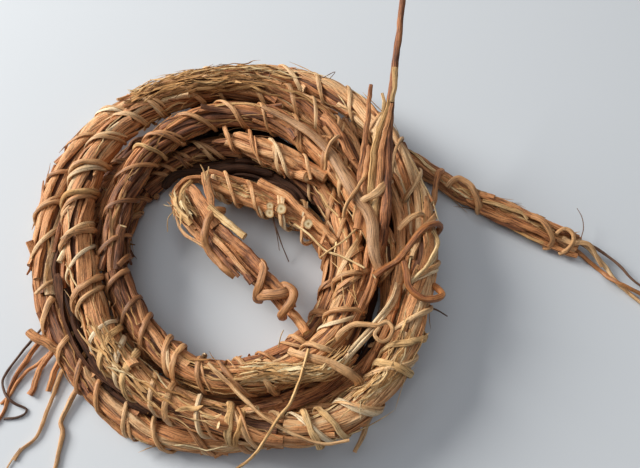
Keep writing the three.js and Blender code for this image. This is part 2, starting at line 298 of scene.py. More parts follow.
def stripOutline(draw, sides, uneven=0.12):
    # a split strip's section: flat inside, ridged outside, with torn edges
    turn = np.arange(sides) * 2 * math.pi / sides
    size = 1 + draw.uniform(-uneven, uneven, sides)
    x = np.cos(turn) * size
    y = np.sign(np.sin(turn)) * np.abs(np.sin(turn)) ** 0.6 * size
    return np.stack([np.where(x < 0, x * 0.55, x), y], axis=1)


# Colours are given as sRGB hex, turned to linear here
def colour(hexCode):
    values = [int(hexCode[i:i + 2], 16) / 255 for i in (1, 3, 5)]
    return tuple(v / 12.92 if v <= 0.04045 else ((v + 0.055) / 1.055) ** 2.4 for v in values) + (1.0,)


def newMaterial(name, gloss):
    material = bpy.data.materials.new(name)
    material.use_nodes = True
    shader = material.node_tree.nodes["Principled BSDF"]
    shader.inputs["Specular IOR Level"].default_value = gloss
    return material, shader


def addNode(material, kind, settings=None, links=None):
    # one node with its settings and the links into it
    tree = material.node_tree
    node = tree.nodes.new(kind)
    for name, value in (settings or {}).items():
        if isinstance(name, int) or name in node.inputs:
            node.inputs[name].default_value = value
        else:
            setattr(node, name, value)
    for name, source in (links or {}).items():
        tree.links.new(source, node.inputs[name])
    return node


def setRamp(node, stops):
    ramp = node.color_ramp
    while len(ramp.elements) < len(stops):
        ramp.elements.new(0.5)
    for element, (place, value) in zip(ramp.elements, stops):
        element.position = place
        element.color = value


# Scales of the skin's patterns, per millimetre
grain = {
    "fibre": (3.4, 3.4, 0.2),     # fine fibres 0.3 mm wide and 5 mm long
    "patch": (0.7, 0.7, 0.13),    # paler and darker patches 1.4 mm wide and 8 mm long
    "speck": 1.9,                 # specks of dirt and small knots of half a millimetre
    "pith": 6.0,                  # open grain of a cut end
}


# Dried root skin. Its fibres run along each root, about 0.3 mm wide, with dark grooves between them.
# streak and blotch say how far the fibres and patches shift the tone, groove how dark a groove is.
def rootSkin(name, stops, roughness, gloss=0.35, streak=0.42, blotch=0.24, bump=0.00022, groove=0.42,
             dust="#B5926C"):
    material, shader = newMaterial(name, gloss)
    shader.inputs["IOR"].default_value = 1.48
    fibre = addNode(material, "ShaderNodeAttribute", {"attribute_name": "fibre"})
    tone = addNode(material, "ShaderNodeAttribute", {"attribute_name": "tone"})
    dry = addNode(material, "ShaderNodeAttribute", {"attribute_name": "dry"})
    fine = addNode(material, "ShaderNodeVectorMath", {"operation": "MULTIPLY", 1: grain["fibre"]},
                   {0: fibre.outputs["Vector"]})
    fineNoise = addNode(material, "ShaderNodeTexNoise", {"Scale": 1.0, "Detail": 3.0, "Roughness": 0.6},
                        {"Vector": fine.outputs[0]})
    broad = addNode(material, "ShaderNodeVectorMath", {"operation": "MULTIPLY", 1: grain["patch"]},
                    {0: fibre.outputs["Vector"]})
    broadNoise = addNode(material, "ShaderNodeTexNoise", {"Scale": 1.0, "Detail": 4.0, "Roughness": 0.65},
                         {"Vector": broad.outputs[0]})
    speckle = addNode(material, "ShaderNodeTexNoise",
                      {"Scale": grain["speck"], "Detail": 3.0, "Roughness": 0.6},
                      {"Vector": fibre.outputs["Vector"]})
    fineShift = addNode(material, "ShaderNodeMath",
                        {"operation": "MULTIPLY_ADD", 1: 2 * streak, 2: -streak},
                        {0: fineNoise.outputs["Fac"]})
    broadShift = addNode(material, "ShaderNodeMath",
                         {"operation": "MULTIPLY_ADD", 1: 2 * blotch, 2: -blotch},
                         {0: broadNoise.outputs["Fac"]})
    shift = addNode(material, "ShaderNodeMath", {"operation": "ADD"},
                    {0: fineShift.outputs[0], 1: broadShift.outputs[0]})
    place = addNode(material, "ShaderNodeMath", {"operation": "ADD", "use_clamp": True},
                    {0: shift.outputs[0], 1: tone.outputs["Fac"]})
    ramp = addNode(material, "ShaderNodeValToRGB", None, {"Fac": place.outputs[0]})
    setRamp(ramp, [(at, colour(code)) for at, code in stops])
    # some roots are drier and greyer than others, in patches along their length
    dryPatch = addNode(material, "ShaderNodeMapRange",
                       {"From Min": 0.42, "From Max": 0.62, "To Min": 0.0, "To Max": 0.5},
                       {"Value": broadNoise.outputs["Fac"]})
    dryness = addNode(material, "ShaderNodeMapRange",
                      {"From Min": 0.3, "From Max": 1.0, "To Min": 0.0, "To Max": 0.75},
                      {"Value": dry.outputs["Fac"]})
    dustAmount = addNode(material, "ShaderNodeMath", {"operation": "MULTIPLY_ADD", 2: 0.05},
                         {0: dryPatch.outputs[0], 1: dryness.outputs[0]})
    dusty = addNode(material, "ShaderNodeMix", {"data_type": "RGBA", 7: colour(dust)},
                    {0: dustAmount.outputs[0], 6: ramp.outputs["Color"]})
    # dark grooves between the fibres, and specks of dirt
    shade = addNode(material, "ShaderNodeMapRange",
                    {"From Min": 0.36, "From Max": 0.5, "To Min": groove, "To Max": 1.0},
                    {"Value": fineNoise.outputs["Fac"]})
    dirt = addNode(material, "ShaderNodeMapRange",
                   {"From Min": 0.32, "From Max": 0.45, "To Min": 0.66, "To Max": 1.0},
                   {"Value": speckle.outputs["Fac"]})
    dark = addNode(material, "ShaderNodeMath", {"operation": "MULTIPLY"},
                   {0: shade.outputs[0], 1: dirt.outputs[0]})
    mixed = addNode(material, "ShaderNodeVectorMath", {"operation": "SCALE"},
                    {0: dusty.outputs[2], "Scale": dark.outputs[0]})
    rough = addNode(material, "ShaderNodeMapRange",
                    {"To Min": roughness + 0.14, "To Max": roughness - 0.08},
                    {"Value": fineNoise.outputs["Fac"]})
    knots = addNode(material, "ShaderNodeMath", {"operation": "MULTIPLY_ADD", 1: 0.7},
                    {0: speckle.outputs["Fac"], 2: fineNoise.outputs["Fac"]})
    relief = addNode(material, "ShaderNodeBump", {"Strength": 1.0, "Distance": bump},
                     {"Height": knots.outputs[0]})
    links = material.node_tree.links
    links.new(mixed.outputs[0], shader.inputs["Base Color"])
    links.new(rough.outputs[0], shader.inputs["Roughness"])
    links.new(relief.outputs[0], shader.inputs["Normal"])
    return material


# Cut end of a root: pale fibrous pith, darker towards its hollow middle as painted shade
def cutPith(name):
    material, shader = newMaterial(name, gloss=0.2)
    shader.inputs["Roughness"].default_value = 0.85
    fibre = addNode(material, "ShaderNodeAttribute", {"attribute_name": "fibre"})
    rim = addNode(material, "ShaderNodeAttribute", {"attribute_name": "rim"})
    pores = addNode(material, "ShaderNodeTexNoise", {"Scale": grain["pith"], "Detail": 3.0},
                    {"Vector": fibre.outputs["Vector"]})
    place = addNode(material, "ShaderNodeMath", {"operation": "MULTIPLY_ADD", 1: 0.3, 2: -0.15},
                    {0: pores.outputs["Fac"]})
    total = addNode(material, "ShaderNodeMath", {"operation": "ADD"},
                    {0: place.outputs[0], 1: rim.outputs["Fac"]})
    # the ramp's dark low end, at the hollow middle, is painted shade; the pale pith and the browner rim are
    # the end's own colours
    ramp = addNode(material, "ShaderNodeValToRGB", None, {"Fac": total.outputs[0]})
    setRamp(ramp, [(0.08, colour("#A07C50")), (0.24, colour("#D8BC88")), (0.5, colour("#EFDAAE")),
                   (0.95, colour("#C0925E"))])
    relief = addNode(material, "ShaderNodeBump", {"Strength": 0.6, "Distance": 0.00015},
                     {"Height": pores.outputs["Fac"]})
    links = material.node_tree.links
    links.new(ramp.outputs["Color"], shader.inputs["Base Color"])
    links.new(relief.outputs[0], shader.inputs["Normal"])
    return material


# Bark of the root sticks: orange-brown with darker and paler roots, dry and slightly satin along the fibres
barkSkin = rootSkin(
    "driedRootBark",
    [(0.0, "#5E3420"), (0.18, "#935834"), (0.38, "#C7834E"), (0.56, "#DB9B64"),
     (0.76, "#E3BA88"), (1.0, "#F0D9B0")],
    roughness=0.6)
# Painted shade: dark brown, matt bark for the roots put deep between the turns, where the gaps lie in
# shade; its dust colour is dark for the same reason
shadedBark = rootSkin(
    "paintedShadeRootBark",
    [(0.0, "#1E120B"), (0.4, "#4E2F1D"), (0.75, "#7E5234"), (1.0, "#A27450")],
    roughness=0.75, gloss=0.2, groove=0.4, dust="#3E2C1E")
# The thin root that binds the bundle: smoother, tan to orange
bindingSkin = rootSkin(
    "bindingRootSkin",
    [(0.0, "#82522F"), (0.3, "#BE8350"), (0.55, "#D5A26C"), (0.8, "#E2BD8C"), (1.0, "#F1DDB6")],
    roughness=0.52, gloss=0.45, streak=0.34, bump=0.00015, groove=0.5)
# Split and shredded fibres: pale, matt
splitFibre = rootSkin(
    "splitRootFibre",
    [(0.0, "#83552F"), (0.35, "#BC8850"), (0.7, "#DCB27A"), (1.0, "#F0DAAA")],
    roughness=0.8, gloss=0.25, streak=0.4, bump=0.00014, groove=0.42, dust="#B99C74")
# Bark strip worn smooth: grey-brown, with a soft shine along it
greyBark = rootSkin(
    "greyRootBark",
    [(0.0, "#6E4526"), (0.35, "#A27246"), (0.65, "#C39468"), (1.0, "#DDB68C")],
    roughness=0.44, gloss=0.5, streak=0.4, blotch=0.34, bump=0.0002, groove=0.45, dust="#A88766")
# Red-brown root with a smooth, slightly glossy skin
redSkin = rootSkin(
    "redRootSkin",
    [(0.0, "#5E3114"), (0.35, "#95552A"), (0.7, "#B97A42"), (1.0, "#D09E66")],
    roughness=0.38, gloss=0.5, streak=0.42, blotch=0.32, bump=0.00018, groove=0.45, dust="#A3764A")
# Thin wiry rootlets: dark, nearly even in colour, with hardly any relief
rootletSkin = rootSkin(
    "wiryRootletSkin",
    [(0.0, "#37261C"), (0.5, "#5E4130"), (1.0, "#8C6A52")],
    roughness=0.55, streak=0.2, bump=0.00005, groove=0.7, dust="#6E5846")
pith = cutPith("cutRootPith")
print("materials made")

# The rope: root sticks side by side round a shaded middle
bundle = {
    "lanes": 11,             # sticks side by side round the rope
    "twistLength": 190.0,    # the sticks turn once round the rope in this length
    "stickLength": (20, 80),
    "stickRadius": (0.65, 1.3),
    "shortest": 6,           # a shorter stick is left out
    "splitShare": 0.36,      # share of the sticks that are split flat
    "bluntShare": 0.6,       # share of the sticks with blunt ends
    "underWraps": 0.6,       # how far below the wraps' outside the sticks lie
    "depths": [0.0, 0.35, 0.8],
    "depthOdds": [0.5, 0.3, 0.2],
    "rises": [0.0, 0.4, 1.1, 2.2],    # how far a stick's own ends stand out
    "riseOdds": [0.4, 0.3, 0.2, 0.1],
    "riseLength": 7,
    "taperLength": 6,
    "laneShift": 0.2,        # how far a lane strays from its even place, as a share of that distance
    "laneTurn": 0.3,         # how far the next stick of a lane lies aside, in radians
    "overlap": (-2, 7),      # how far it starts before the last one ends
    "pinch": 0.13,           # how far a wrap pulls the sticks in
    "pinchWidth": 1.9,
    "coreShare": 0.6,        # radius of the shaded middle, as a share of the rope's
    "coreStep": 3.0,
    "step": 1.4,
}
binding = {
    "pitch": (6.5, 13.0),
    "radius": (0.36, 0.74),
    "slant": 1.5,            # how far a wrap runs ahead on the rope's upper side
    "sway": 1.2,             # how far one wrap's slant differs from the next
    "strandRadius": (0.2, 0.5),
}
looseFibre = {
    "length": (4, 22),
    "thickness": (0.07, 0.2),
    "flatShare": 0.4,
    "flatWidth": (0.22, 0.5),
}
patternPlaces = (0, 40)      # a root's seed is drawn from this range


def windBinding(draw, start, end, pitch):
    # the binding root's angle along the rope: one wrap after another, at uneven distances
    places = [start]
    while places[-1] < end:
        places.append(places[-1] + draw.uniform(*pitch))
    return np.array(places), np.arange(len(places)) * 2 * math.pi


def pinchAt(wraps, at, angle):
    # 1 between wraps, a little less where the binding root crosses this angle
    places, angles = wraps
    phase = np.interp(at - binding["slant"] * np.sin(angle - math.pi / 2), places, angles) - angle
    off = (phase + math.pi) % (2 * math.pi) - math.pi
    distance = off / (2 * math.pi) * np.mean(np.diff(places))
    return 1 - bundle["pinch"] * np.exp(-(distance / bundle["pinchWidth"]) ** 2)


def addSticks(mesh, draw, rope, start, end, reachAt, wraps, tone, lanes):
    for lane in range(lanes):
        at = start - draw.uniform(0, 30)
        laneAngle = 2 * math.pi * (lane + draw.uniform(-bundle["laneShift"], bundle["laneShift"])) / lanes
        while at < end:
            long = draw.uniform(*bundle["stickLength"])
            first = max(at, start)
            last = min(at + long, end)
            ownEnds = (first > start, last < end)
            if last - first > bundle["shortest"]:
                addStick(mesh, draw, rope, first, last, laneAngle, reachAt, wraps, tone, ownEnds)
            at += long - draw.uniform(*bundle["overlap"])
            laneAngle += draw.uniform(-bundle["laneTurn"], bundle["laneTurn"])


def addStick(mesh, draw, rope, first, last, laneAngle, reachAt, wraps, tone, ownEnds):
    # ownEnds says which ends are the stick's own; at the others it runs on into the next stretch
    farOff = 99
    places = np.linspace(first, last, max(6, int((last - first) / bundle["step"])))
    turn = laneAngle + places * 2 * math.pi / bundle["twistLength"] + 0.2 * wander(draw, places, 40)
    radius = draw.uniform(*bundle["stickRadius"])
    split = draw.random() < bundle["splitShare"]
    thick = radius * (draw.uniform(0.45, 0.65) if split else draw.uniform(0.8, 1.0))
    wide = radius * (draw.uniform(1.1, 1.45) if split else draw.uniform(0.9, 1.1))
    depth = draw.choice(bundle["depths"], p=bundle["depthOdds"])
    out = (reachAt(places) - bundle["underWraps"] - depth - thick) * pinchAt(wraps, places, turn)
    out = out + 0.2 * wander(draw, places, 20)
    fromEnds = np.minimum(places - first if ownEnds[0] else farOff, last - places if ownEnds[1] else farOff)
    rise = draw.choice(bundle["rises"], p=bundle["riseOdds"])
    out = out + rise * np.clip(1 - fromEnds / bundle["riseLength"], 0, 1) ** 2
    path, facing = aroundRope(rope, places, turn, out)
    swell = 1 + 0.12 * wander(draw, places, 26)
    blunt = draw.random() < bundle["bluntShare"]
    taper = np.ones(len(places))
    if not blunt:
        taper = 0.3 + 0.7 * np.clip(fromEnds / bundle["taperLength"], 0, 1) ** 0.7
    outline = stripOutline(draw, 9) if split else rootOutline(draw, 10, 0.2)
    # sticks that lie deeper are darker by 0.14 a unit of depth: painted shade
    shade = tone(places) - 0.14 * depth + draw.normal(0, 0.13) + 0.05 * wander(draw, places, 25)
    shade = np.clip(shade, 0.03, 0.97)
    hollow = draw.uniform(0.1, 0.4) if blunt and not split else 0.0
    mesh.sweep(path, facing, outline, thick * swell * taper, wide * swell * taper, shade,
               draw.uniform(*patternPlaces), (hollow, hollow))


def addCore(mesh, draw, rope, start, end, reachAt):
    # the dark middle that closes the gaps between the sticks: painted shade, tone 0 gives it the darkest
    # bark colour
    quarterTurn = 1.57
    places = np.arange(start, end, bundle["coreStep"])
    size = reachAt(places) * bundle["coreShare"]
    path, facing = aroundRope(rope, places, np.full(len(places), quarterTurn), np.zeros(len(places)))
    mesh.sweep(path, facing, rootOutline(draw, 10), size, size, tone=0.0, seed=5.0)


def addBinding(mesh, draw, rope, wraps, start, end, reachAt, tone, radius):
    places, angles = wraps
    turn = np.arange(angles[0], angles[-1], 0.2)
    sway = binding["sway"] * np.interp(turn, angles, draw.normal(0, 1, len(angles)))
    at = np.interp(turn, angles, places) + (binding["slant"] + sway) * np.sin(turn - math.pi / 2)
    inside = (at > start + 0.5) & (at < end - 0.5)
    turn = turn[inside]
    at = at[inside]
    perWrap = len(places)
    size = np.interp(turn, angles, draw.uniform(*radius, perWrap)) * (1 + 0.13 * wander(draw, turn, 1.1))
    flat = np.interp(turn, angles, draw.uniform(0.6, 0.95, perWrap))
    shade = np.interp(turn, angles, draw.normal(0, 0.2, perWrap))
    out = reachAt(at) - 0.5 + 0.22 * wander(draw, turn, 2.4)
    path, facing = aroundRope(rope, at, turn, out)
    shade = np.clip(tone(at) + 0.04 + shade, 0.05, 0.98)
    outline = rootOutline(draw, 9)
    mesh.sweep(path, facing, outline, size * flat, size / flat ** 0.7, shade, draw.uniform(*patternPlaces))


def addCompanions(mesh, draw, rope, wraps, start, end, reachAt, tone, share):
    # strands that have split off the binding root and run beside it for part of a turn
    places, angles = wraps
    for wrap in range(len(places) - 2):
        if draw.random() > share:
            continue
        turn = np.arange(angles[wrap] + draw.uniform(0, 4), angles[wrap] + draw.uniform(4.5, 9), 0.22)
        if len(turn) < 6:
            continue
        beside = draw.choice([-1, 1]) * draw.uniform(0.7, 1.3)
        beside = beside + np.linspace(0, draw.normal(0, 1.2), len(turn))
        at = np.interp(turn, angles, places) + binding["slant"] * np.sin(turn - math.pi / 2) + beside
        if at[0] < start or at[-1] > end:
            continue
        along = np.linspace(0, 1, len(turn))
        away = draw.uniform(0, 1.8) * np.clip(along - 0.75, 0, 1) * 4
        path, facing = aroundRope(rope, at, turn, reachAt(at) - 0.55 + 0.2 * wander(draw, turn, 2.0) + away)
        taper = np.clip(np.minimum(along, 1 - along) * 8 + 0.3, 0, 1)
        size = draw.uniform(*binding["strandRadius"]) * taper
        shade = np.clip(tone(at) + draw.normal(0.1, 0.18), 0.05, 0.98)
        outline = stripOutline(draw, 7)
        mesh.sweep(path, facing, outline, size * 0.7, size * 1.4, shade, draw.uniform(*patternPlaces))


def addFibres(mesh, draw, rope, start, end, reachAt, tone, perMillimetre, lift):
    # split fibres on the rope's surface; lift is how far the wildest of them stand out
    for _ in range(int((end - start) * perMillimetre)):
        long = draw.uniform(*looseFibre["length"])
        first = draw.uniform(start, max(start + 1, end - long))
        places = np.linspace(first, min(first + long, end), max(5, int(long / 1.6)))
        share = np.linspace(0, 1, len(places))
        turn = draw.uniform(0, 2 * math.pi) + draw.normal(0, 0.5) * share + 0.16 * wander(draw, places, 14)
        rise = lift * draw.uniform(0, 1) ** 3
        out = reachAt(places) - draw.uniform(0.6, 1.3)
        out = out + rise * np.abs(share - draw.choice([0.15, 0.85])) ** 2 * 2
        path, facing = aroundRope(rope, places, turn, out)
        flat = draw.random() < looseFibre["flatShare"]
        thick = draw.uniform(*looseFibre["thickness"])
        wide = draw.uniform(*looseFibre["flatWidth"]) if flat else thick * 1.2
        taper = endTaper(share, 7, 0.25)
        shade = np.clip(tone(places) + draw.normal(0.05, 0.2), 0.05, 1)
        outline = stripOutline(draw, 5)
        mesh.sweep(path, facing, outline, thick * taper, wide * taper, shade, draw.uniform(*patternPlaces))


def finishPiece(piece, slotName, *nodes):
    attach(piece, "root")
    if nodes:
        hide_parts(*nodes)


def addRope(stretch, rope, start, end):
    draw = np.random.default_rng(stretch["seed"])
    fromReach, toReach = stretch["reach"]

    def reachAt(at):
        return fromReach + (toReach - fromReach) * np.clip((at - start) / (end - start), 0, 1)

    def tone(at):
        return np.interp(at, np.linspace(start, end, len(stretch["tone"])), stretch["tone"])

    wraps = windBinding(draw, start - 10, end + 20, stretch.get("pitch", binding["pitch"]))
    sticks = RootMesh()
    addCore(sticks, draw, rope, start, end, reachAt)
    addSticks(sticks, draw, rope, start, end, reachAt, wraps, tone, stretch.get("lanes", bundle["lanes"]))
    piece = sticks.build(stretch["name"] + "Sticks", [barkSkin, pith])
    finishPiece(piece, "orange_brown_root", stretch["node"])
    if stretch.get("bound") != "one by one":
        binder = RootMesh()
        addBinding(binder, draw, rope, wraps, start, end, reachAt, tone, binding["radius"])
        addCompanions(binder, draw, rope, wraps, start, end, reachAt, tone, stretch.get("companions", 0.7))
        finishPiece(binder.build(stretch["name"] + "Binding", [bindingSkin]), "straw_root")
    fibres = RootMesh()
    addFibres(fibres, draw, rope, start, end, reachAt, tone, stretch["fibres"], stretch["lift"])
    finishPiece(fibres.build(stretch["name"] + "Fibres", [splitFibre]), "pale_split_fibre")
    print(stretch["name"], "made,", round(end - start), "mm")


# One row for each stretch. reach is its radius over the wraps, tone runs along it from dark 0 to pale 1,
# fibres is how many there are to a millimetre, and lift how far they stand out.
ropeStretches = [
    {"name": "outerTail", "node": "outer_tail_rope", "reach": (3.2, 3.8), "fibres": 0.6, "lift": 1.8,
     "seed": 11, "tone": [0.42, 0.3, 0.32], "bound": "one by one", "lanes": 9},
    {"name": "firstTurn", "node": "first_turn_rope", "reach": (3.7, 3.9), "fibres": 0.2, "lift": 1.5,
     "seed": 12, "tone": [0.32, 0.28, 0.32]},
    {"name": "secondTurn", "node": "second_turn_rope", "reach": (4.5, 4.65), "fibres": 0.5, "lift": 2.4,
     "seed": 13, "tone": [0.4, 0.5, 0.44, 0.5, 0.58, 0.58]},
    {"name": "thirdTurn", "node": "third_turn_rope", "reach": (4.5, 4.5), "fibres": 0.5, "lift": 2.4,
     "seed": 14, "tone": [0.6, 0.64, 0.56, 0.56, 0.56, 0.5], "pitch": (8, 15)},
    # the low tones at the fourth turn's end and the fifth turn's start are painted shade, where the higher
    # turn above shades them
    {"name": "fourthTurn", "node": "fourth_turn_rope", "reach": (4.0, 4.6), "fibres": 0.4, "lift": 2.0,
     "seed": 15, "tone": [0.38, 0.38, 0.42, 0.5, 0.32, 0.06]},
    {"name": "fifthTurn", "node": "fifth_turn_rope", "reach": (4.3, 4.4), "fibres": 0.7, "lift": 2.4,
     "seed": 16, "tone": [0.02, 0.46, 0.56, 0.38, 0.3, 0.12]},
    {"name": "innerTurn", "node": "inner_turn_rope", "reach": (3.2, 4.3), "fibres": 0.5, "lift": 2.0,
     "seed": 17, "tone": [0.2, 0.3, 0.34, 0.48], "companions": 0.8},
]
mainRope = ropeLine(settled(sum(turns, [])))
passed = 0
for stretch, points in zip(ropeStretches, turns):
    following = min(passed + len(points), len(mainRope["marks"]) - 1)
    addRope(stretch, mainRope, mainRope["marks"][passed], mainRope["marks"][following])
    passed = following

tailRope = ropeLine(settled(innerTail))
tailStretch = {
    "name": "innerTail", "node": "inner_tail_rope", "reach": (4.3, 3.0), "fibres": 0.4, "lift": 1.2,
    "seed": 18, "tone": [0.5, 0.38, 0.36], "pitch": (10, 13), "bound": "one by one", "lanes": 8,
}
addRope(tailStretch, tailRope, 0.0, tailRope["at"][-1])

# Single roots that stand out of the rope, lie on it or lie on the paper, with radii at start and tip.
# inside is how far a root goes on into the rope before its first point, and from gives such points one
# by one. A root with settles False keeps the heights of its points, because it doesn't lie on the coil.
looseRoots = [
    {"name": "uprightStick", "node": "upright_stick", "slot": "brown_root", "skin": barkSkin,
     "radii": (1.5, 0.75), "tone": 0.14, "sway": 0.16, "from": [(37.4, -3, 13), (38.4, 1.5, 17)],
     "points": [(39, 6, 20.6), (39.5, 13, 21.4), (40, 23, 24.4), (40.5, 32.5, 29), (41.5, 40.5, 33),
                (43, 51.5, 38), (44, 60, 42)]},
    {"name": "uprightSheath", "node": "upright_sheath", "slot": "pale_split_fibre", "skin": splitFibre,
     "radii": (1.1, 0.7), "tone": 0.7, "flat": 0.45, "from": [(36, 5, 15)],
     "points": [(36.8, 13, 20.4), (36.5, 22, 22.9), (37.5, 29.5, 26)]},
    {"name": "standingStub", "node": "standing_stub", "slot": "orange_brown_root", "skin": barkSkin,
     "radii": (1.15, 0.55), "tone": 0.28, "inside": 7,
     "points": [(33, 19, 19.6), (34.5, 30, 22.4), (36, 43, 26)]},
    {"name": "redBindingRoot", "node": "red_binding_root", "slot": "red_brown_root", "skin": redSkin,
     "radii": (0.95, 0.9), "tone": 0.45, "sway": 0.12, "inside": 2,
     "points": [(37, -9.5, 18.9), (41.5, -6.5, 19.2), (45.6, -1.4, 19.7), (49.2, 2.6, 19.6),
                (52.4, 4.2, 18.2), (53.8, 4.4, 15.4), (52.6, 3.4, 11)]},
    {"name": "redHookRoot", "node": "red_hook_root", "slot": "red_brown_root", "skin": redSkin,
     "radii": (0.95, 0.9), "tone": 0.45, "sway": 0.12, "inside": 3,
     "points": [(43.5, -10, 19.2), (44, -13.5, 19), (47, -16.4, 19), (50.2, -16.6, 18.4),
                (52.4, -15, 17.2), (51.6, -12.4, 15.4), (50, -10.6, 12)]},
    {"name": "longLooseRoot", "node": "long_loose_root", "slot": "straw_root", "skin": bindingSkin,
     "radii": (0.55, 0.35), "tone": 0.6, "inside": 3,
     "points": [(-2, -34.5, 18.6), (5, -41, 19), (10.5, -45.5, 19), (17.5, -49, 18.6), (24, -50.5, 17.6),
                (28.5, -49.5, 17.4)]},
    {"name": "thinHangingRoot", "node": "thin_hanging_root", "slot": "pale_split_fibre",
     "skin": splitFibre, "radii": (0.45, 0.35), "tone": 0.6, "inside": 3,
     "points": [(18.5, -32, 18.8), (17, -37.5, 18.8), (15, -42, 19.6), (12.5, -45.5, 20.3),
                (9.5, -50, 18.6), (6, -53, 12), (2, -55, 7)]},
    {"name": "looseEndStick", "node": "loose_end_stick", "slot": "straw_root", "skin": bindingSkin,
     "radii": (1.0, 0.5), "tone": 0.62, "inside": 8,
     "points": [(36.5, -38.8, 7.2), (33.5, -44.5, 5.9), (32, -48, 5.2), (30.5, -51, 4.7)]},
    {"name": "innerPaleStub", "node": "inner_pale_stub", "slot": "pale_split_fibre", "skin": splitFibre,
     "radii": (1.15, 1.1), "tone": 0.7, "inside": 6,
     "points": [(-3.5, 7.5, 13.2), (-0.5, 4.8, 13.4), (2, 2.5, 13.4)]},
    {"name": "innerFrayedStub", "node": "inner_frayed_stub", "slot": "orange_brown_root", "skin": barkSkin,
     "radii": (0.8, 1.15), "tone": 0.5, "flat": 0.5, "inside": 4,
     "points": [(-7.2, 10.4, 12.4), (-8.2, 14, 13), (-9.2, 18, 13.6), (-10, 22, 14.5)]},
    {"name": "innerSingleStick", "node": "inner_single_stick", "slot": "orange_brown_root",
     "skin": barkSkin, "radii": (1.35, 1.25), "tone": 0.45, "inside": 6,
     "points": [(14.2, -16.2, 8.8), (16.4, -19, 9.2), (18.6, -22.6, 9.8)]},
    {"name": "tailStub", "node": "tail_stub", "slot": "brown_root", "skin": barkSkin, "radii": (1.0, 0.8),
     "tone": 0.35, "from": [(57.6, 27.8, 5.6)],
     "points": [(56, 24.5, 8.6), (54.5, 18.5, 8.2), (53, 12.5, 7.8)]},
    {"name": "tailTanRoot", "node": "tail_tan_root", "slot": "straw_root", "skin": bindingSkin,
     "radii": (0.8, 0.5), "tone": 0.65, "settles": False, "from": [(90.5, 6.6, 3.4), (95.4, 5, 3.8)],
     "points": [(98.6, 2.2, 2.8), (101, -0.8, 1.9), (105, -6.9, 1.2), (110, -12, 0.8),
                (112.5, -14.5, 0.6)]},
    {"name": "tailRedRoot", "node": "tail_red_root", "slot": "red_brown_root", "skin": redSkin,
     "radii": (0.65, 0.5), "tone": 0.6, "settles": False, "inside": 8,
     "points": [(97, 1.2, 1.0), (101, -3, 0.8), (104, -6.9, 2.9), (110.5, -10, 1.6), (113, -12, 0.6)]},
    {"name": "tailKnottedRoot", "node": "tail_knotted_root", "slot": "dark_rootlet", "skin": rootletSkin,
     "radii": (0.45, 0.3), "tone": 0.7, "settles": False, "from": [(93, 5.8, 3.2)],
     "points": [(98.4, 4, 3.2), (102.3, 1.4, 2.8), (105.8, -1.8, 2.2), (108, -5, 1.8), (111, -7.4, 1.3),
                (113, -9, 0.8)]},
    {"name": "darkWiryRoot", "node": "dark_wiry_root", "slot": "dark_rootlet", "skin": rootletSkin,
     "radii": (0.4, 0.3), "tone": 0.4, "settles": False,
     "points": [(-52, -18.6, 1.3), (-54.6, -22.2, 1.2), (-57.1, -25.8, 0.7), (-60.1, -31.4, 0.6),
                (-60.4, -33.1, 0.8), (-58.8, -36.1, 1.4), (-57.4, -37.6, 1.6), (-55.8, -38.8, 1.1),
                (-52.9, -40.1, 0.4), (-53.1, -41.2, 0.4), (-55.1, -42.3, 0.4), (-58, -42.5, 0.4)]},
    {"name": "brownFloorRoot", "node": "brown_floor_root", "slot": "brown_root", "skin": barkSkin,
     "radii": (0.85, 0.35), "tone": 0.3, "settles": False,
     "points": [(-51, -20.5, 1.6), (-53, -24, 1.4), (-55, -27.6, 1), (-57.1, -31.5, 0.8),
                (-58, -35.1, 0.6), (-58.2, -38.5, 0.5), (-59, -42, 0.5), (-61.9, -45.6, 0.4)]},
    {"name": "forkedFloorRoot", "node": "forked_floor_root", "slot": "orange_brown_root", "skin": barkSkin,
     "radii": (0.85, 0.75), "tone": 0.4, "settles": False,
     "points": [(-47.4, -24, 2), (-49.3, -26.9, 1.6), (-50.9, -29.4, 1.2), (-51.3, -32.1, 1),
                (-51.9, -35.1, 0.8), (-52.7, -36.7, 0.8)]},
    {"name": "stubFloorRoot", "node": "stub_floor_root", "slot": "orange_brown_root", "skin": barkSkin,
     "radii": (0.8, 0.75), "tone": 0.45, "settles": False,
     "points": [(-45.6, -26.4, 1.8), (-46.9, -29.6, 1.4), (-47.4, -33, 1.2), (-47.8, -35.7, 1)]},
    {"name": "longFloorRoot", "node": "long_floor_root", "slot": "straw_root", "skin": bindingSkin,
     "radii": (0.6, 0.35), "tone": 0.55, "settles": False,
     "points": [(-43.6, -28.4, 1.8), (-45.2, -30.9, 1.4), (-46.3, -36.2, 0.9), (-47.7, -41.8, 0.7),
                (-48.9, -47, 0.6), (-52.1, -49.8, 0.5), (-53.4, -52.5, 0.5)]},
    {"name": "lowerFloorRoot", "node": "lower_floor_root", "slot": "straw_root", "skin": bindingSkin,
     "radii": (0.8, 0.5), "tone": 0.55, "settles": False,
     "points": [(-39.4, -33.4, 1.8), (-40.8, -35.7, 1.4), (-42.4, -40, 1), (-43.3, -43.7, 0.8),
                (-42.7, -45.2, 0.8), (-42.7, -50, 0.7), (-42.9, -55.5, 0.6)]},
    {"name": "sideStub", "node": "side_stub", "slot": "orange_brown_root", "skin": barkSkin,
     "radii": (1.2, 1.1), "tone": 0.5, "settles": False,
     "points": [(-43, -26.4, 4.6), (-47.4, -25, 6.2), (-51.2, -23.2, 6.8), (-53.1, -21.8, 6.9)]},
]


def radiusAlong(radii, share):
    return radii[0] + (radii[1] - radii[0]) * share


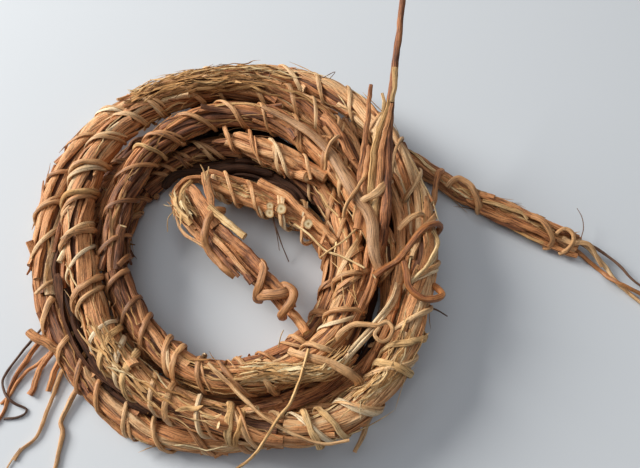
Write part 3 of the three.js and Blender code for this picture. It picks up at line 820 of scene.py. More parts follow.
def addLooseRoot(root, seed):
    draw = np.random.default_rng(seed)
    step = 0.7
    points = root.get("from", []) + root["points"]
    if root.get("settles", True):
        points = settled(points)
    if root.get("inside"):
        start = np.array(points[0])
        points = [tuple(start + unit(start - np.array(points[1])) * root["inside"])] + points
    line = smoothLine(points, step)[0]
    at = np.arange(len(line)) * step
    sway = min(root["radii"]) * root.get("sway", 0.35)
    line[:, 0] += sway * wander(draw, at, 11)
    line[:, 1] += sway * wander(draw, at, 13)
    radius = radiusAlong(root["radii"], np.linspace(0, 1, len(line)))
    radius = radius * (1 + 0.1 * wander(draw, at, 9))
    facing = np.tile([0.0, 0.0, 1.0], (len(line), 1)) + 0.02
    mesh = RootMesh()
    tone = np.clip(root["tone"] + 0.08 * wander(draw, at, 12), 0, 1)
    flat = root.get("flat", 1.0)
    outline = stripOutline(draw, 11) if flat < 1 else rootOutline(draw, 11, 0.13)
    hollow = 0.3
    mesh.sweep(line, facing, outline, radius * flat, radius, tone, draw.uniform(*patternPlaces),
               (hollow, hollow))
    finishPiece(mesh.build(root["name"], [root["skin"], pith]), root["slot"], root["node"])


for number, root in enumerate(looseRoots):
    addLooseRoot(root, 100 + number)
print("loose roots made")

# Roots that have slipped out of the binding and lie beside or between the turns, and dark roots that fill
# the gaps as painted shade. spread is how far they lie from the route, and wraps the distances between the
# wraps of a thin root round them.
looseStrands = [
    {"name": "eastOuter", "count": 9, "spread": 2.6, "radius": (0.6, 1.2), "tone": 0.36,
     "length": (16, 50),
     "points": [(29.9, -35.6, 9), (35.1, -27.1, 10), (39.9, -17.4, 11), (43, -6.8, 12), (44, 4.3, 13),
                (42.8, 15, 14), (39.7, 24.5, 14), (35, 35.2, 13)]},
    {"name": "eastInner", "count": 9, "spread": 2.2, "radius": (0.6, 1.3), "tone": 0.28,
     "length": (16, 46),
     "points": [(24.4, -28.8, 15), (29.9, -20.3, 15), (34.2, -11.6, 15), (36.6, -1.9, 15),
                (36.7, 8.1, 15.5), (33.5, 17.9, 16), (28.7, 26.6, 16)]},
    {"name": "paleStrand", "count": 4, "spread": 0.9, "radius": (0.5, 0.9), "tone": 0.72,
     "length": (12, 26),
     "points": [(24.8, -34.9, 17), (31.7, -27.4, 17.6), (36.7, -21.8, 17.6), (40.4, -16.1, 17.2),
                (42.4, -9.2, 16)]},
    {"name": "innerUpper", "wraps": (7, 10), "count": 11, "spread": 2.8, "radius": (0.9, 1.7),
     "tone": 0.42, "length": (14, 34),
     "points": [(-9, 36.2, 9), (-1.9, 34.9, 11), (5.3, 30.8, 12), (13.5, 26.1, 12.5), (23.4, 20.3, 13)]},
    {"name": "innerLower", "wraps": (6, 9), "count": 12, "spread": 2.9, "radius": (0.8, 1.7), "tone": 0.46,
     "length": (12, 34),
     "points": [(-12.4, 23.2, 9), (-2, 18.8, 9.6), (8.1, 14, 9.8), (17.1, 8.2, 10), (26.8, -1.6, 10.4)]},
    # rows with the shadedBark skin are dark roots put into the gaps between the turns: painted shade
    {"name": "innerShade", "count": 16, "spread": 2.8, "radius": (0.7, 1.4), "tone": 0.25,
     "length": (14, 30), "skin": shadedBark,
     "points": [(-26.6, 17.5, 4.5), (-20.3, 26.8, 4.5), (-10.7, 28, 4.5), (-0.6, 29, 4.8), (8, 26.5, 5),
                (14.5, 21.5, 5.2), (20, 14, 5.4), (25, 8, 5.4)]},
    {"name": "voidShade", "count": 18, "spread": 2.8, "radius": (0.8, 1.5), "tone": 0.04,
     "length": (16, 36), "skin": shadedBark,
     "points": [(-30, 27, 4), (-20, 37, 4), (-9, 41, 4.2), (2, 39.5, 4.4), (12, 34, 4.8), (20, 27, 5.4),
                (27, 20, 6), (31, 13, 6)]},
    {"name": "northShade", "count": 12, "spread": 2.4, "radius": (0.7, 1.4), "tone": 0.25,
     "length": (16, 36), "skin": shadedBark,
     "points": [(-44, 33, 7), (-33, 43, 7.5), (-21.5, 49, 8), (-8, 50.5, 8.4), (6, 48.5, 8.8),
                (17, 44.5, 8.8), (28, 38.5, 9), (36, 29, 9)]},
    {"name": "tailLower", "count": 9, "spread": 1.7, "radius": (0.5, 1.1), "tone": 0.28,
     "length": (10, 30),
     "points": [(54, 26, 4.2), (62, 20.4, 4.2), (70, 15.8, 4), (78, 11, 3.8), (85.4, 7.2, 3.8),
                (91, 5.4, 3.6)]},
    {"name": "eastShade", "count": 14, "spread": 2.3, "radius": (0.7, 1.4), "tone": 0.3,
     "length": (14, 30), "skin": shadedBark,
     "points": [(40, 24, 7), (42, 14, 7), (42, 3, 6.6), (39, -7, 6), (36.6, -15, 6), (34, -22.4, 6),
                (29.7, -28.6, 6), (23, -33.4, 6.4)]},
    {"name": "southWestShade", "count": 12, "spread": 1.8, "radius": (0.7, 1.3), "tone": 0.35,
     "length": (14, 34), "skin": shadedBark,
     "points": [(-48, 10, 6), (-48.4, -4, 6), (-44.6, -15, 6), (-39, -25.4, 6), (-32, -33.4, 6.2),
                (-22.6, -40, 6.6), (-12, -43, 7)]},
    {"name": "uprightFoot", "count": 9, "spread": 1.2, "radius": (0.35, 0.8), "tone": 0.42,
     "length": (9, 18),
     "points": [(36, 5.4, 17), (37, 12, 19.2), (38, 19, 21.4), (38.8, 25, 24)]},
    {"name": "northBark", "count": 10, "spread": 2.0, "radius": (0.5, 1.2), "tone": 0.52,
     "length": (12, 36),
     "points": [(-40, 40, 9), (-30.8, 47.5, 11), (-20.6, 53, 12), (-8.7, 54.5, 12.5), (3, 54, 12.5),
                (14.7, 50.5, 13), (27, 43, 13)]},
    {"name": "westOuter", "count": 8, "spread": 1.7, "radius": (0.6, 1.2), "tone": 0.24,
     "length": (14, 36),
     "points": [(-42.6, -24.1, 5.5), (-47.9, -9.7, 6), (-49.8, 5.1, 6), (-48, 21, 6), (-41.4, 35.7, 7)]},
    {"name": "westInner", "count": 8, "spread": 1.7, "radius": (0.6, 1.2), "tone": 0.2, "length": (14, 36),
     "points": [(-35.7, -14.6, 8), (-38.4, -0.3, 8), (-37.7, 13.5, 8), (-33.3, 27.2, 8), (-22, 39, 9)]},
    {"name": "southGap", "count": 10, "spread": 2.0, "radius": (0.6, 1.2), "tone": 0.26,
     "length": (14, 40),
     "points": [(-30, -33, 7), (-19, -40.5, 8), (-7, -43.5, 8.5), (6, -42, 9), (17, -38.5, 9),
                (27, -32, 8), (34, -24, 8)]},
]


def addStrand(strand, seed):
    draw = np.random.default_rng(seed)
    rope = ropeLine(settled(strand["points"]))
    whole = rope["at"][-1]
    mesh = RootMesh()
    for _ in range(strand["count"]):
        long = min(draw.uniform(*strand["length"]), whole)
        first = draw.uniform(0, whole - long)
        places = np.linspace(first, first + long, max(6, int(long / bundle["step"])))
        angle = draw.uniform(0, 2 * math.pi) + 0.5 * wander(draw, places, 50)
        out = strand["spread"] * math.sqrt(draw.uniform(0.05, 1)) + 0.3 * wander(draw, places, 24)
        path, facing = aroundRope(rope, places, angle, out)
        radius = draw.uniform(*strand["radius"])
        split = draw.random() < 0.4
        thick = radius * (0.5 if split else 0.95)
        wide = radius * (1.25 if split else 1.0)
        share = np.linspace(0, 1, len(places))
        taper = np.clip(np.minimum(share, 1 - share) * 9 + 0.6, 0, 1)
        swell = (1 + 0.12 * wander(draw, places, 18)) * taper
        outline = stripOutline(draw, 9) if split else rootOutline(draw, 10, 0.2)
        shade = np.clip(strand["tone"] + draw.normal(0, 0.11), 0.02, 0.95)
        hollow = 0.0 if split else draw.uniform(0.1, 0.4)
        mesh.sweep(path, facing, outline, thick * swell, wide * swell, shade, draw.uniform(*patternPlaces),
                   (hollow, hollow))
    if strand.get("wraps"):
        draw = np.random.default_rng(seed + 50)
        wraps = windBinding(draw, -6, whole + 12, strand["wraps"])
        reach = strand["spread"] + 1.5

        def reachAt(at):
            return np.full(len(at), reach)

        def tone(at):
            return np.full(len(at), 0.6)

        addBinding(mesh, draw, rope, wraps, 2, whole - 2, reachAt, tone, (0.4, 0.6))
        addCompanions(mesh, draw, rope, wraps, 2, whole - 2, reachAt, tone, 0.8)
    skin = strand.get("skin", barkSkin)
    finishPiece(mesh.build(strand["name"] + "Strands", [skin, pith]), "orange_brown_root")


for number, strand in enumerate(looseStrands):
    addStrand(strand, 300 + number)
print("loose strands made")

# Places where the roots are shredded into thin split fibres; side is how far they run askew
shreddedPlaces = [
    {"name": "nearShreds", "count": 110, "spread": 2.6, "tone": 0.62, "length": (4, 16), "side": 1.2,
     "points": [(3, -34.6, 15.6), (10.2, -34.1, 16), (17.3, -34.4, 16), (24.3, -32.9, 15.6),
                (30, -28, 15)]},
    {"name": "northShreds", "count": 150, "spread": 2.6, "tone": 0.2, "length": (5, 20), "side": 1.0,
     "points": [(-34, 43, 14), (-24, 48.6, 15), (-12, 51, 15.4), (0, 51.6, 15.4), (12, 48.4, 15)]},
    {"name": "northRimShreds", "count": 90, "spread": 2.6, "tone": 0.55, "length": (5, 20), "side": 0.8,
     "points": [(-36, 52.4, 7), (-24, 58, 8), (-10, 61, 8.4), (4, 61, 8.8), (18, 56, 10)]},
    {"name": "eastShreds", "count": 60, "spread": 2.6, "tone": 0.62, "length": (4, 14), "side": 1.2,
     "points": [(30, -41, 14.6), (37, -35.4, 14.8), (42, -28, 15), (45.4, -20, 15.2)]},
    {"name": "foldShreds", "count": 60, "spread": 2.6, "tone": 0.6, "length": (3, 11), "side": 1.4,
     "points": [(-17.4, 17, 10.4), (-15.6, 12, 11), (-12, 8, 11)]},
    {"name": "tailShreds", "count": 50, "spread": 2.4, "tone": 0.3, "length": (4, 16), "side": 1.0,
     "points": [(62, 22.6, 4.4), (74, 16, 4.4), (84, 11, 4.2), (94, 5.4, 4)]},
    {"name": "innerShreds", "count": 50, "spread": 3.2, "tone": 0.45, "length": (3, 9), "side": 1.4,
     "points": [(-8, 21.4, 9), (2, 17.6, 9.6), (10, 13.6, 10), (19, 6.6, 10)]},
    {"name": "southShreds", "count": 55, "spread": 3.0, "tone": 0.44, "length": (4, 14), "side": 1.2,
     "points": [(-34, -20, 15), (-28, -29, 15.2), (-19, -37.5, 15.2), (-8, -42.8, 15.2), (4, -45.6, 15)]},
]


def addShreds(place, seed):
    draw = np.random.default_rng(seed)
    rope = ropeLine(settled(place["points"]))
    whole = rope["at"][-1]
    mesh = RootMesh()
    for _ in range(place["count"]):
        long = draw.uniform(*place["length"])
        first = draw.uniform(-0.3, 1.0) * (whole - long)
        places = np.clip(np.linspace(first, first + long, max(6, int(long / 1.1))), 0, whole)
        apart = np.concatenate([[True], np.diff(places) > 0.05])
        places = places[apart]
        if len(places) < 5:
            continue
        share = np.linspace(0, 1, len(places))
        angle = math.pi / 2 + draw.uniform(-1.7, 1.7) + draw.normal(0, place["side"] * 0.4) * share
        angle = angle + 0.2 * wander(draw, places, 11)
        out = place["spread"] * draw.uniform(0.55, 1.0) + 0.35 * wander(draw, places, 9)
        out = out + draw.choice([0, 0.5, 1.4]) * np.abs(share - draw.choice([0.0, 1.0])) ** 3
        path, facing = aroundRope(rope, places, angle, out)
        thick = draw.uniform(*looseFibre["thickness"])
        wide = thick * draw.uniform(1.0, 3.2)
        taper = endTaper(share, 6, 0.2)
        shade = np.clip(place["tone"] + draw.normal(0, 0.2), 0.03, 1)
        outline = stripOutline(draw, 5)
        mesh.sweep(path, facing, outline, thick * taper, wide * taper, shade, draw.uniform(*patternPlaces))
    finishPiece(mesh.build(place["name"], [splitFibre]), "pale_split_fibre")


for number, place in enumerate(shreddedPlaces):
    addShreds(place, 400 + number)
print("shredded places made")

# Roots picked out one by one: radii at both ends, and flat is how thin a split root is against its width
skins = {"bark": (barkSkin, "orange_brown_root"), "straw": (bindingSkin, "straw_root"),
         "pale": (splitFibre, "pale_split_fibre"), "dark": (rootletSkin, "dark_rootlet")}
pickedRoots = [
    # short cut roots whose ends face the camera inside the coil
    {"skin": "bark", "radii": (1.3, 1.5), "tone": 0.5,
     "points": [(10.7, 13.4, 8.4), (11.1, 12.2, 11), (11.5, 10, 15.4)]},
    {"skin": "bark", "radii": (1.0, 1.15), "tone": 0.6,
     "points": [(8, 14, 9.4), (8.2, 13, 11.4), (8.4, 11.7, 13.9)]},
    {"skin": "bark", "radii": (1.1, 1.3), "tone": 0.6,
     "points": [(8, 12.4, 8), (8.2, 11.4, 10.2), (8.4, 10, 13)]},
    {"skin": "bark", "radii": (1.3, 1.5), "tone": 0.55,
     "points": [(18.4, 9, 8.4), (18.6, 7.6, 11), (18.8, 6, 14.4)]},
    {"skin": "bark", "radii": (1.6, 1.75), "tone": 0.46,
     "points": [(8, 29.5, 12.2), (16, 26, 13.2), (23.7, 20.6, 13.6)]},
    {"skin": "bark", "radii": (1.4, 1.65), "tone": 0.44,
     "points": [(9, 27, 10.5), (14.5, 23.8, 11.6), (18.4, 20.4, 14.4)]},
    {"skin": "bark", "radii": (1.2, 1.15), "tone": 0.5,
     "points": [(5, 20, 12.4), (12, 15.6, 13), (16.8, 10.6, 13.6), (22.5, 4.9, 13.6), (26.2, 1.4, 13.2)]},
    # wraps and a flat strap round the inner tail
    {"skin": "straw", "radii": (1.0, 0.9), "tone": 0.26, "flat": 0.85,
     "points": [(-5, 12.4, 9.4), (-6, 11.4, 12), (-7.4, 9.4, 13.2), (-8.4, 6.4, 13.6), (-8.8, 2.8, 12.6),
                (-8, 0, 10.8), (-5.6, -3, 10.4), (-2.9, -5.5, 10.6), (-0.8, -7, 9.4)]},
    {"skin": "straw", "radii": (1.0, 1.05), "tone": 0.24, "flat": 0.85,
     "points": [(5.4, -3, 9.4), (6.4, -4.2, 11.8), (7.2, -5.8, 12.9), (7.3, -7.9, 13.3),
                (6.6, -10.3, 12.8), (5.6, -12, 11), (5.4, -12.8, 8.4), (6.4, -12.4, 6)]},
    {"skin": "straw", "radii": (1.4, 1.3), "tone": 0.24, "flat": 0.5,
     "points": [(6, -12.6, 10), (8, -13.2, 12), (10.7, -13.4, 12.8), (13, -13, 12.8),
                (14.6, -11.6, 11.4)]},
    {"skin": "straw", "radii": (1.0, 1.05), "tone": 0.26, "flat": 0.85,
     "points": [(11.6, -10.6, 10.4), (13.4, -10.8, 12.4), (15, -12.2, 12.8), (15.2, -14, 13),
                (14.6, -15.6, 13), (13.4, -17.2, 12.6), (12.2, -18.2, 11), (12.4, -18, 8)]},
    # broad split roots on top of the inner tail
    {"skin": "bark", "radii": (1.3, 1.9), "tone": 0.42, "flat": 0.42,
     "points": [(-16.1, 19.7, 11.5), (-13.4, 17.5, 12), (-10.6, 13.7, 12.2), (-7.7, 9.6, 12.2),
                (-5.6, 6.9, 11.6)]},
    {"skin": "bark", "radii": (1.5, 1.7), "tone": 0.24, "flat": 0.6,
     "points": [(-5.6, 6, 11.4), (-2.2, 3.1, 11.9), (1.4, -0.3, 11.7), (5, -3.9, 11.7),
                (7.3, -6.8, 11.8)]},
    {"skin": "bark", "radii": (1.2, 0.5), "tone": 0.14, "flat": 0.6,
     "points": [(-8, 4, 10.2), (-6, 0.4, 10.5), (-4.2, -2.2, 10.5), (-1.9, -4.9, 10.7),
                (0.6, -7.4, 10.4)]},
    {"skin": "bark", "radii": (0.9, 0.5), "tone": 0.5, "flat": 0.5,
     "points": [(-6.5, 3, 11.9), (-3, -0.6, 12.2), (0.9, -5.1, 12), (3.6, -8, 11.8)]},
    {"skin": "bark", "radii": (0.7, 1.0), "tone": 0.1, "flat": 0.5,
     "points": [(-2.6, -2.4, 11.4), (1.4, -6, 11.6), (4.4, -9.6, 11.4)]},
    {"skin": "bark", "radii": (1.7, 1.5), "tone": 0.3, "flat": 0.5,
     "points": [(7, -7.6, 12), (10.6, -10.6, 12), (13.6, -13.6, 11.6), (14.6, -16.4, 11)]},
    # torn bark and pale band of the upright stick
    {"skin": "pale", "radii": (0.85, 0.6), "tone": 0.6, "flat": 0.5,
     "points": [(41.7, 41.4, 35), (41.5, 38.4, 33.9), (41.3, 35.7, 32.5), (40.8, 33.4, 31)]},
    {"skin": "pale", "radii": (0.4, 0.7), "tone": 0.66, "flat": 0.45,
     "points": [(38.3, 36.4, 30.8), (38.9, 33.8, 29.9), (38.9, 31.9, 29), (38.6, 29.2, 27.4)]},
    {"skin": "pale", "radii": (0.5, 1.0), "tone": 0.5, "flat": 0.45,
     "points": [(40.1, 34, 31.2), (39.1, 30.5, 29), (37.6, 27.3, 26.8), (36.4, 23.5, 24.6),
                (35.8, 18.9, 23), (35.4, 13.7, 21.2), (35.6, 9.4, 19)]},
    {"skin": "bark", "radii": (0.5, 1.0), "tone": 0.36, "flat": 0.45,
     "points": [(40.7, 33, 30.8), (40, 29.6, 28.8), (38.8, 25.6, 26.6), (38, 21, 24.8), (37.6, 16, 23.2),
                (37.2, 10.6, 21)]},
    # torn top of the frayed stub
    {"skin": "pale", "radii": (0.35, 0.14), "tone": 0.6,
     "points": [(-9.6, 19.6, 14.2), (-10.4, 22.4, 15.2), (-11.2, 23.6, 15.8)]},
    {"skin": "pale", "radii": (0.35, 0.14), "tone": 0.6,
     "points": [(-9.6, 20, 14.2), (-9.1, 22, 15), (-8.9, 23.2, 15.4)]},
    # bent roots of the fold
    {"skin": "bark", "radii": (0.6, 0.6), "tone": 0.4,
     "points": [(-6, 19.8, 12), (-11.5, 21.4, 12.6), (-16.2, 20.4, 12.6), (-18.6, 17, 11.8),
                (-18.2, 12.6, 11.4), (-15, 8.6, 11.6), (-11.4, 5.6, 11.8)]},
    {"skin": "bark", "radii": (0.4, 0.5), "tone": 0.3, "flat": 0.6,
     "points": [(-9, 20.6, 11), (-14, 21, 11.8), (-17.4, 18.6, 11.6), (-17.2, 13.6, 12), (-14, 9.4, 12.2),
                (-9.6, 4.4, 12.2)]},
    {"skin": "bark", "radii": (1.0, 1.2), "tone": 0.5, "flat": 0.5,
     "points": [(-6, 21, 10), (-13, 22, 10.6), (-17.4, 18, 10.4), (-17.8, 12.5, 9.6), (-13.6, 7.4, 9.6),
                (-9, 2.5, 9.4)]},
    {"skin": "pale", "radii": (0.5, 0.7), "tone": 0.5, "flat": 0.4,
     "points": [(-14, 20.5, 12.6), (-16.2, 16.5, 12.8), (-16.2, 11.5, 12.8), (-12.8, 6.4, 13)]},
    {"skin": "bark", "radii": (0.3, 0.6), "tone": 0.6, "flat": 0.5,
     "points": [(-17.4, 14, 10.6), (-17.6, 9.6, 9.6), (-15.4, 5.6, 9.4), (-10.6, 2.4, 9.6),
                (-7.4, -0.4, 9.6)]},
    {"skin": "pale", "radii": (0.14, 0.1), "tone": 0.7,
     "points": [(-16.5, 14, 12), (-19.4, 12.6, 12), (-21.2, 13.4, 11.4)]},
    {"skin": "pale", "radii": (0.16, 0.1), "tone": 0.7,
     "points": [(-17, 12, 12), (-19.6, 9.6, 11), (-19.8, 6, 9.4)]},
    # dark roots that hang into the opening, pale ones that cross its edge
    {"skin": "dark", "radii": (0.22, 0.14), "tone": 0.6,
     "points": [(8.8, 11.4, 8.4), (10, 7.5, 6.4), (11.4, 4.2, 3.4), (13.2, 0.5, 0.6)]},
    {"skin": "dark", "radii": (0.2, 0.1), "tone": 0.7,
     "points": [(8.8, 11.2, 8), (9.8, 7.3, 5.8), (10.6, 3.2, 3)]},
    {"skin": "pale", "radii": (0.35, 0.26), "tone": 0.75,
     "points": [(15, 7, 12.4), (19.3, 2.9, 14), (23.3, -1.9, 15), (28.4, -4.6, 16.2), (33.4, -7.7, 17)]},
    {"skin": "pale", "radii": (0.22, 0.3), "tone": 0.65,
     "points": [(22, -4.1, 15), (24.6, -2.1, 15.7), (28.5, 0.5, 16.2), (31.5, 3.4, 16.4)]},
    # pale twisted root beside the red ones
    {"skin": "pale", "radii": (0.5, 0.6), "tone": 0.78,
     "points": [(43.8, -12.9, 17.8), (47.6, -9.4, 19.3), (50.6, -5.2, 19.2), (52.2, -1.4, 18.2),
                (51.5, 2.4, 17.4)]},
    # broad wrap and small curl on the near side, torn strap beside the upright stick's foot
    {"skin": "straw", "radii": (0.9, 1.25), "tone": 0.5, "flat": 0.45,
     "points": [(14.4, -28.4, 14.6), (18, -30.5, 17.6), (24.4, -32.4, 18.4), (29.4, -35, 17.4),
                (31.4, -36.4, 14), (31.6, -36.2, 10)]},
    {"skin": "straw", "radii": (0.8, 0.45), "tone": 0.55, "flat": 0.8,
     "points": [(25.4, -26, 15.4), (27.8, -24.2, 17.4), (30.4, -23, 18.2), (33.4, -22.9, 18.4),
                (36.4, -23.2, 18.4), (38.4, -22.3, 18.2), (39.4, -24, 18.2), (38.4, -26.4, 18.2),
                (36.6, -27, 18.4), (35.2, -25.6, 18.8), (36.2, -24, 19)]},
    {"skin": "straw", "radii": (0.8, 1.3), "tone": 0.6, "flat": 0.35,
     "points": [(31.4, 8.2, 18.8), (33.4, 9.7, 20.8), (36.4, 10.9, 22), (39, 13.6, 22.2),
                (40.6, 16.2, 20.4)]},
    {"skin": "straw", "radii": (0.8, 0.7), "tone": 0.55, "flat": 0.6,
     "points": [(42.4, 2.4, 18.2), (45, 4.8, 19.6), (47.6, 6.4, 19.4), (49, 7, 18)]},
    # wraps and split roots of the outer tail
    {"skin": "straw", "radii": (0.8, 1.0), "tone": 0.4, "flat": 0.5,
     "points": [(58.6, 21.6, 6.6), (60.1, 23.1, 7.7), (62, 24, 7.9), (64.2, 22.6, 7.9), (66, 19.6, 7.8),
                (67.4, 16, 6.2), (67.8, 14.6, 3.8)]},
    {"skin": "straw", "radii": (0.8, 0.8), "tone": 0.34, "flat": 0.5,
     "points": [(81.4, 12, 6.6), (83.9, 10, 7.6), (85.6, 7.7, 7), (86.8, 5.2, 5), (86.6, 4.2, 2.6),
                (85.6, 4.6, 1.2)]},
    {"skin": "straw", "radii": (0.5, 0.6), "tone": 0.5, "flat": 0.7,
     "points": [(87.6, 6.4, 6.6), (89.6, 7.6, 7.4), (91.4, 6.6, 7.4), (92.2, 4.4, 6.6), (91.2, 2.8, 4.4),
                (89.4, 2.4, 1.8)]},
    {"skin": "pale", "radii": (0.5, 0.6), "tone": 0.55, "flat": 0.5,
     "points": [(68.4, 17, 7), (72.3, 15.5, 7.4), (75.8, 14.2, 7.4), (79.1, 12.8, 7.2),
                (80.4, 11.2, 6.6)]},
    {"skin": "bark", "radii": (0.9, 0.7), "tone": 0.3, "flat": 0.7,
     "points": [(68, 14.6, 5.4), (71.3, 13.1, 5), (74.7, 11.6, 5.2), (78.6, 10, 5.5), (83.2, 7.8, 5.6),
                (88, 5, 5)]},
    {"skin": "bark", "radii": (0.8, 0.7), "tone": 0.36, "flat": 0.6,
     "points": [(67.6, 19, 7.2), (73.2, 16.7, 7.4), (77.5, 14.5, 7.3), (82.5, 11.7, 7.2), (86.4, 9.5, 7.1),
                (90.6, 7.4, 7)]},
    {"skin": "pale", "radii": (0.35, 0.45), "tone": 0.45, "flat": 0.6,
     "points": [(73, 11.6, 3.6), (77, 9.4, 4), (81, 6.8, 4), (85, 5, 3.8)]},
    # the outer tail splits into twisted roots
    {"skin": "bark", "radii": (0.9, 0.6), "tone": 0.2,
     "points": [(88, 8.4, 6), (91.6, 7, 6.4), (94.2, 5.8, 6.2)]},
    {"skin": "bark", "radii": (0.9, 0.8), "tone": 0.4, "flat": 0.8,
     "points": [(81, 7.8, 3.4), (86, 5, 3.4), (90.2, 2.8, 3.4), (94, 1.4, 3.4)]},
    {"skin": "straw", "radii": (0.95, 0.5), "tone": 0.6, "flat": 0.6,
     "points": [(90, 6, 5), (92.4, 4.3, 5.8), (94.5, 4.1, 6.4), (96.6, 3.6, 6), (98, 2.1, 5.2),
                (99.2, 0, 4.2), (100.4, -1.8, 3.4)]},
    {"skin": "dark", "radii": (0.7, 0.5), "tone": 0.9,
     "points": [(92, 6.4, 5), (95.6, 4.6, 4.4), (98.6, 3.2, 3.6)]},
    # peeled sheath round the upright stick
    {"skin": "pale", "radii": (1.1, 0.5), "tone": 0.5, "flat": 0.4,
     "points": [(33.6, 5.5, 18), (34.7, 12.3, 19.4), (36.5, 21.8, 21.4), (38.6, 30.6, 26)]},
    {"skin": "pale", "radii": (1.2, 0.5), "tone": 0.66, "flat": 0.45,
     "points": [(35, 2, 18), (36.9, 10.5, 20), (38.4, 20.2, 22.6), (40, 28.7, 26.4)]},
    {"skin": "bark", "radii": (1.3, 0.8), "tone": 0.36, "flat": 0.6,
     "points": [(31.6, 3, 17.6), (33, 9.3, 19.2), (34.2, 17.8, 20.2), (35.2, 25.9, 21.6)]},
    {"skin": "straw", "radii": (0.5, 0.5), "tone": 0.55,
     "points": [(27.8, 31.6, 17.4), (26.6, 29.6, 20.4), (24.6, 26.4, 21.4), (23.6, 23.4, 20.6),
                (23.4, 21, 17.4)]},
    {"skin": "straw", "radii": (0.55, 0.5), "tone": 0.5,
     "points": [(33.6, 19.6, 17.6), (34, 17, 21), (31.8, 13, 21.6), (29, 8.8, 20.6), (28.2, 6.4, 17.6)]},
    {"skin": "bark", "radii": (1.3, 1.0), "tone": 0.3, "flat": 0.4,
     "points": [(22.6, 39, 17), (25, 36, 18), (28, 30.6, 18.2), (30.8, 23.7, 17.8)]},
    # thin hairs
    {"skin": "dark", "radii": (0.16, 0.1), "tone": 0.7,
     "points": [(17.4, 57.4, 9.4), (22, 56.3, 12), (26.6, 58.2, 13), (25, 55.6, 13)]},
    {"skin": "dark", "radii": (0.14, 0.08), "tone": 0.9,
     "points": [(-10.4, 58, 9), (-10.8, 60.4, 9.8), (-11.2, 63.2, 9.8)]},
    {"skin": "dark", "radii": (0.14, 0.08), "tone": 0.8,
     "points": [(6, 58, 10), (6.6, 60, 10.6), (5.4, 62, 10.6)]},
    {"skin": "dark", "radii": (0.1, 0.16), "tone": 0.7,
     "points": [(95.4, 15.1, 6), (96.4, 12.6, 5.6), (96.8, 9.6, 4.6), (95.6, 5.8, 3.6)]},
    {"skin": "dark", "radii": (0.2, 0.12), "tone": 0.5,
     "points": [(27.4, -38.7, 6), (31.6, -36.8, 5), (35.3, -35.1, 3)]},
    {"skin": "dark", "radii": (0.3, 0.16), "tone": 0.5,
     "points": [(48.4, -17.4, 15), (51.6, -17.6, 13), (54.4, -18.8, 11.6)]},
    {"skin": "pale", "radii": (0.16, 0.12), "tone": 0.8,
     "points": [(11.8, -27.4, 14), (12.6, -25, 16.6), (13.2, -24.2, 18)]},
    {"skin": "pale", "radii": (0.16, 0.1), "tone": 0.8,
     "points": [(-35.4, -21, 15.4), (-32.2, -26.4, 16.4), (-28.4, -31.6, 17)]},
    # roots on the paper at the lower left
    {"skin": "bark", "radii": (0.5, 0.36), "tone": 0.4,
     "points": [(-49, -26.4, 2), (-51.8, -28.8, 1.4), (-54.2, -30.4, 1), (-56.2, -33.2, 0.8),
                (-57.6, -36.1, 0.6), (-59.6, -38.8, 0.5)]},
    {"skin": "straw", "radii": (0.3, 0.16), "tone": 0.6,
     "points": [(-52.3, -49.6, 0.6), (-54, -52.4, 0.5), (-55.2, -55.2, 0.4)]},
    {"skin": "bark", "radii": (0.7, 0.6), "tone": 0.42,
     "points": [(-33, -41.6, 1.6), (-30.4, -43.8, 1.4), (-27.3, -45.9, 1), (-26, -46.8, 0.9)]},
]


# Wraps of the coil picked out one by one. near is the place on the rope, and slide says how far askew the
# wrap crosses it.
pickedWraps = [
    # near side, lower and upper rope
    {"near": (1.2, -45.6, 13), "skin": "pale", "radius": 1.0, "tone": 0.56, "flat": 0.5, "slide": 2.5},
    {"near": (3.6, -46, 13), "skin": "pale", "radius": 0.7, "tone": 0.46, "flat": 0.6, "slide": -1},
    {"near": (39.4, -32.6, 12.8), "skin": "pale", "radius": 1.0, "tone": 0.68, "flat": 0.5, "slide": 3},
    {"near": (42.6, -27, 13), "skin": "pale", "radius": 0.9, "tone": 0.6, "flat": 0.5, "slide": 8},
    {"near": (19.4, -46.4, 12.7), "skin": "pale", "radius": 0.8, "tone": 0.7, "flat": 0.6, "slide": 3},
    {"near": (24.4, -45.4, 12.6), "skin": "pale", "radius": 0.7, "tone": 0.66, "flat": 0.6, "slide": 4.5},
    {"near": (-24, -34, 13), "skin": "pale", "radius": 0.95, "tone": 0.6, "flat": 0.55, "slide": 6.5},
    {"near": (-29.8, -27.6, 13), "skin": "pale", "radius": 0.9, "tone": 0.58, "flat": 0.6, "slide": 7},
    {"near": (-37.6, -13, 13), "skin": "straw", "radius": 0.9, "tone": 0.4, "flat": 0.7, "slide": 6},
    {"near": (-42, 1.6, 13), "skin": "straw", "radius": 0.9, "tone": 0.34, "flat": 0.7, "slide": 4},
    {"near": (-44, 14, 13), "skin": "pale", "radius": 0.8, "tone": 0.5, "flat": 0.7, "slide": 4},
    {"near": (-42.6, 23.4, 13), "skin": "straw", "radius": 0.9, "tone": 0.42, "flat": 0.7, "slide": 5},
    {"near": (-13.6, -40.4, 13), "skin": "straw", "radius": 0.8, "tone": 0.5, "flat": 0.6, "slide": 4},
    # inner turns
    {"near": (-26, 28.6, 13), "skin": "pale", "radius": 0.6, "tone": 0.6, "flat": 0.8, "slide": 3},
    {"near": (-12.4, -31, 12), "skin": "straw", "radius": 0.75, "tone": 0.42, "flat": 0.6, "slide": 4},
    {"near": (9, -35, 13), "skin": "straw", "radius": 0.7, "tone": 0.5, "flat": 0.6, "slide": 3},
    {"near": (29.8, -9, 12.3), "skin": "straw", "radius": 0.9, "tone": 0.4, "flat": 0.7, "slide": 4},
    {"near": (27.6, -19, 13), "skin": "straw", "radius": 0.7, "tone": 0.42, "flat": 0.7, "slide": 5},
]


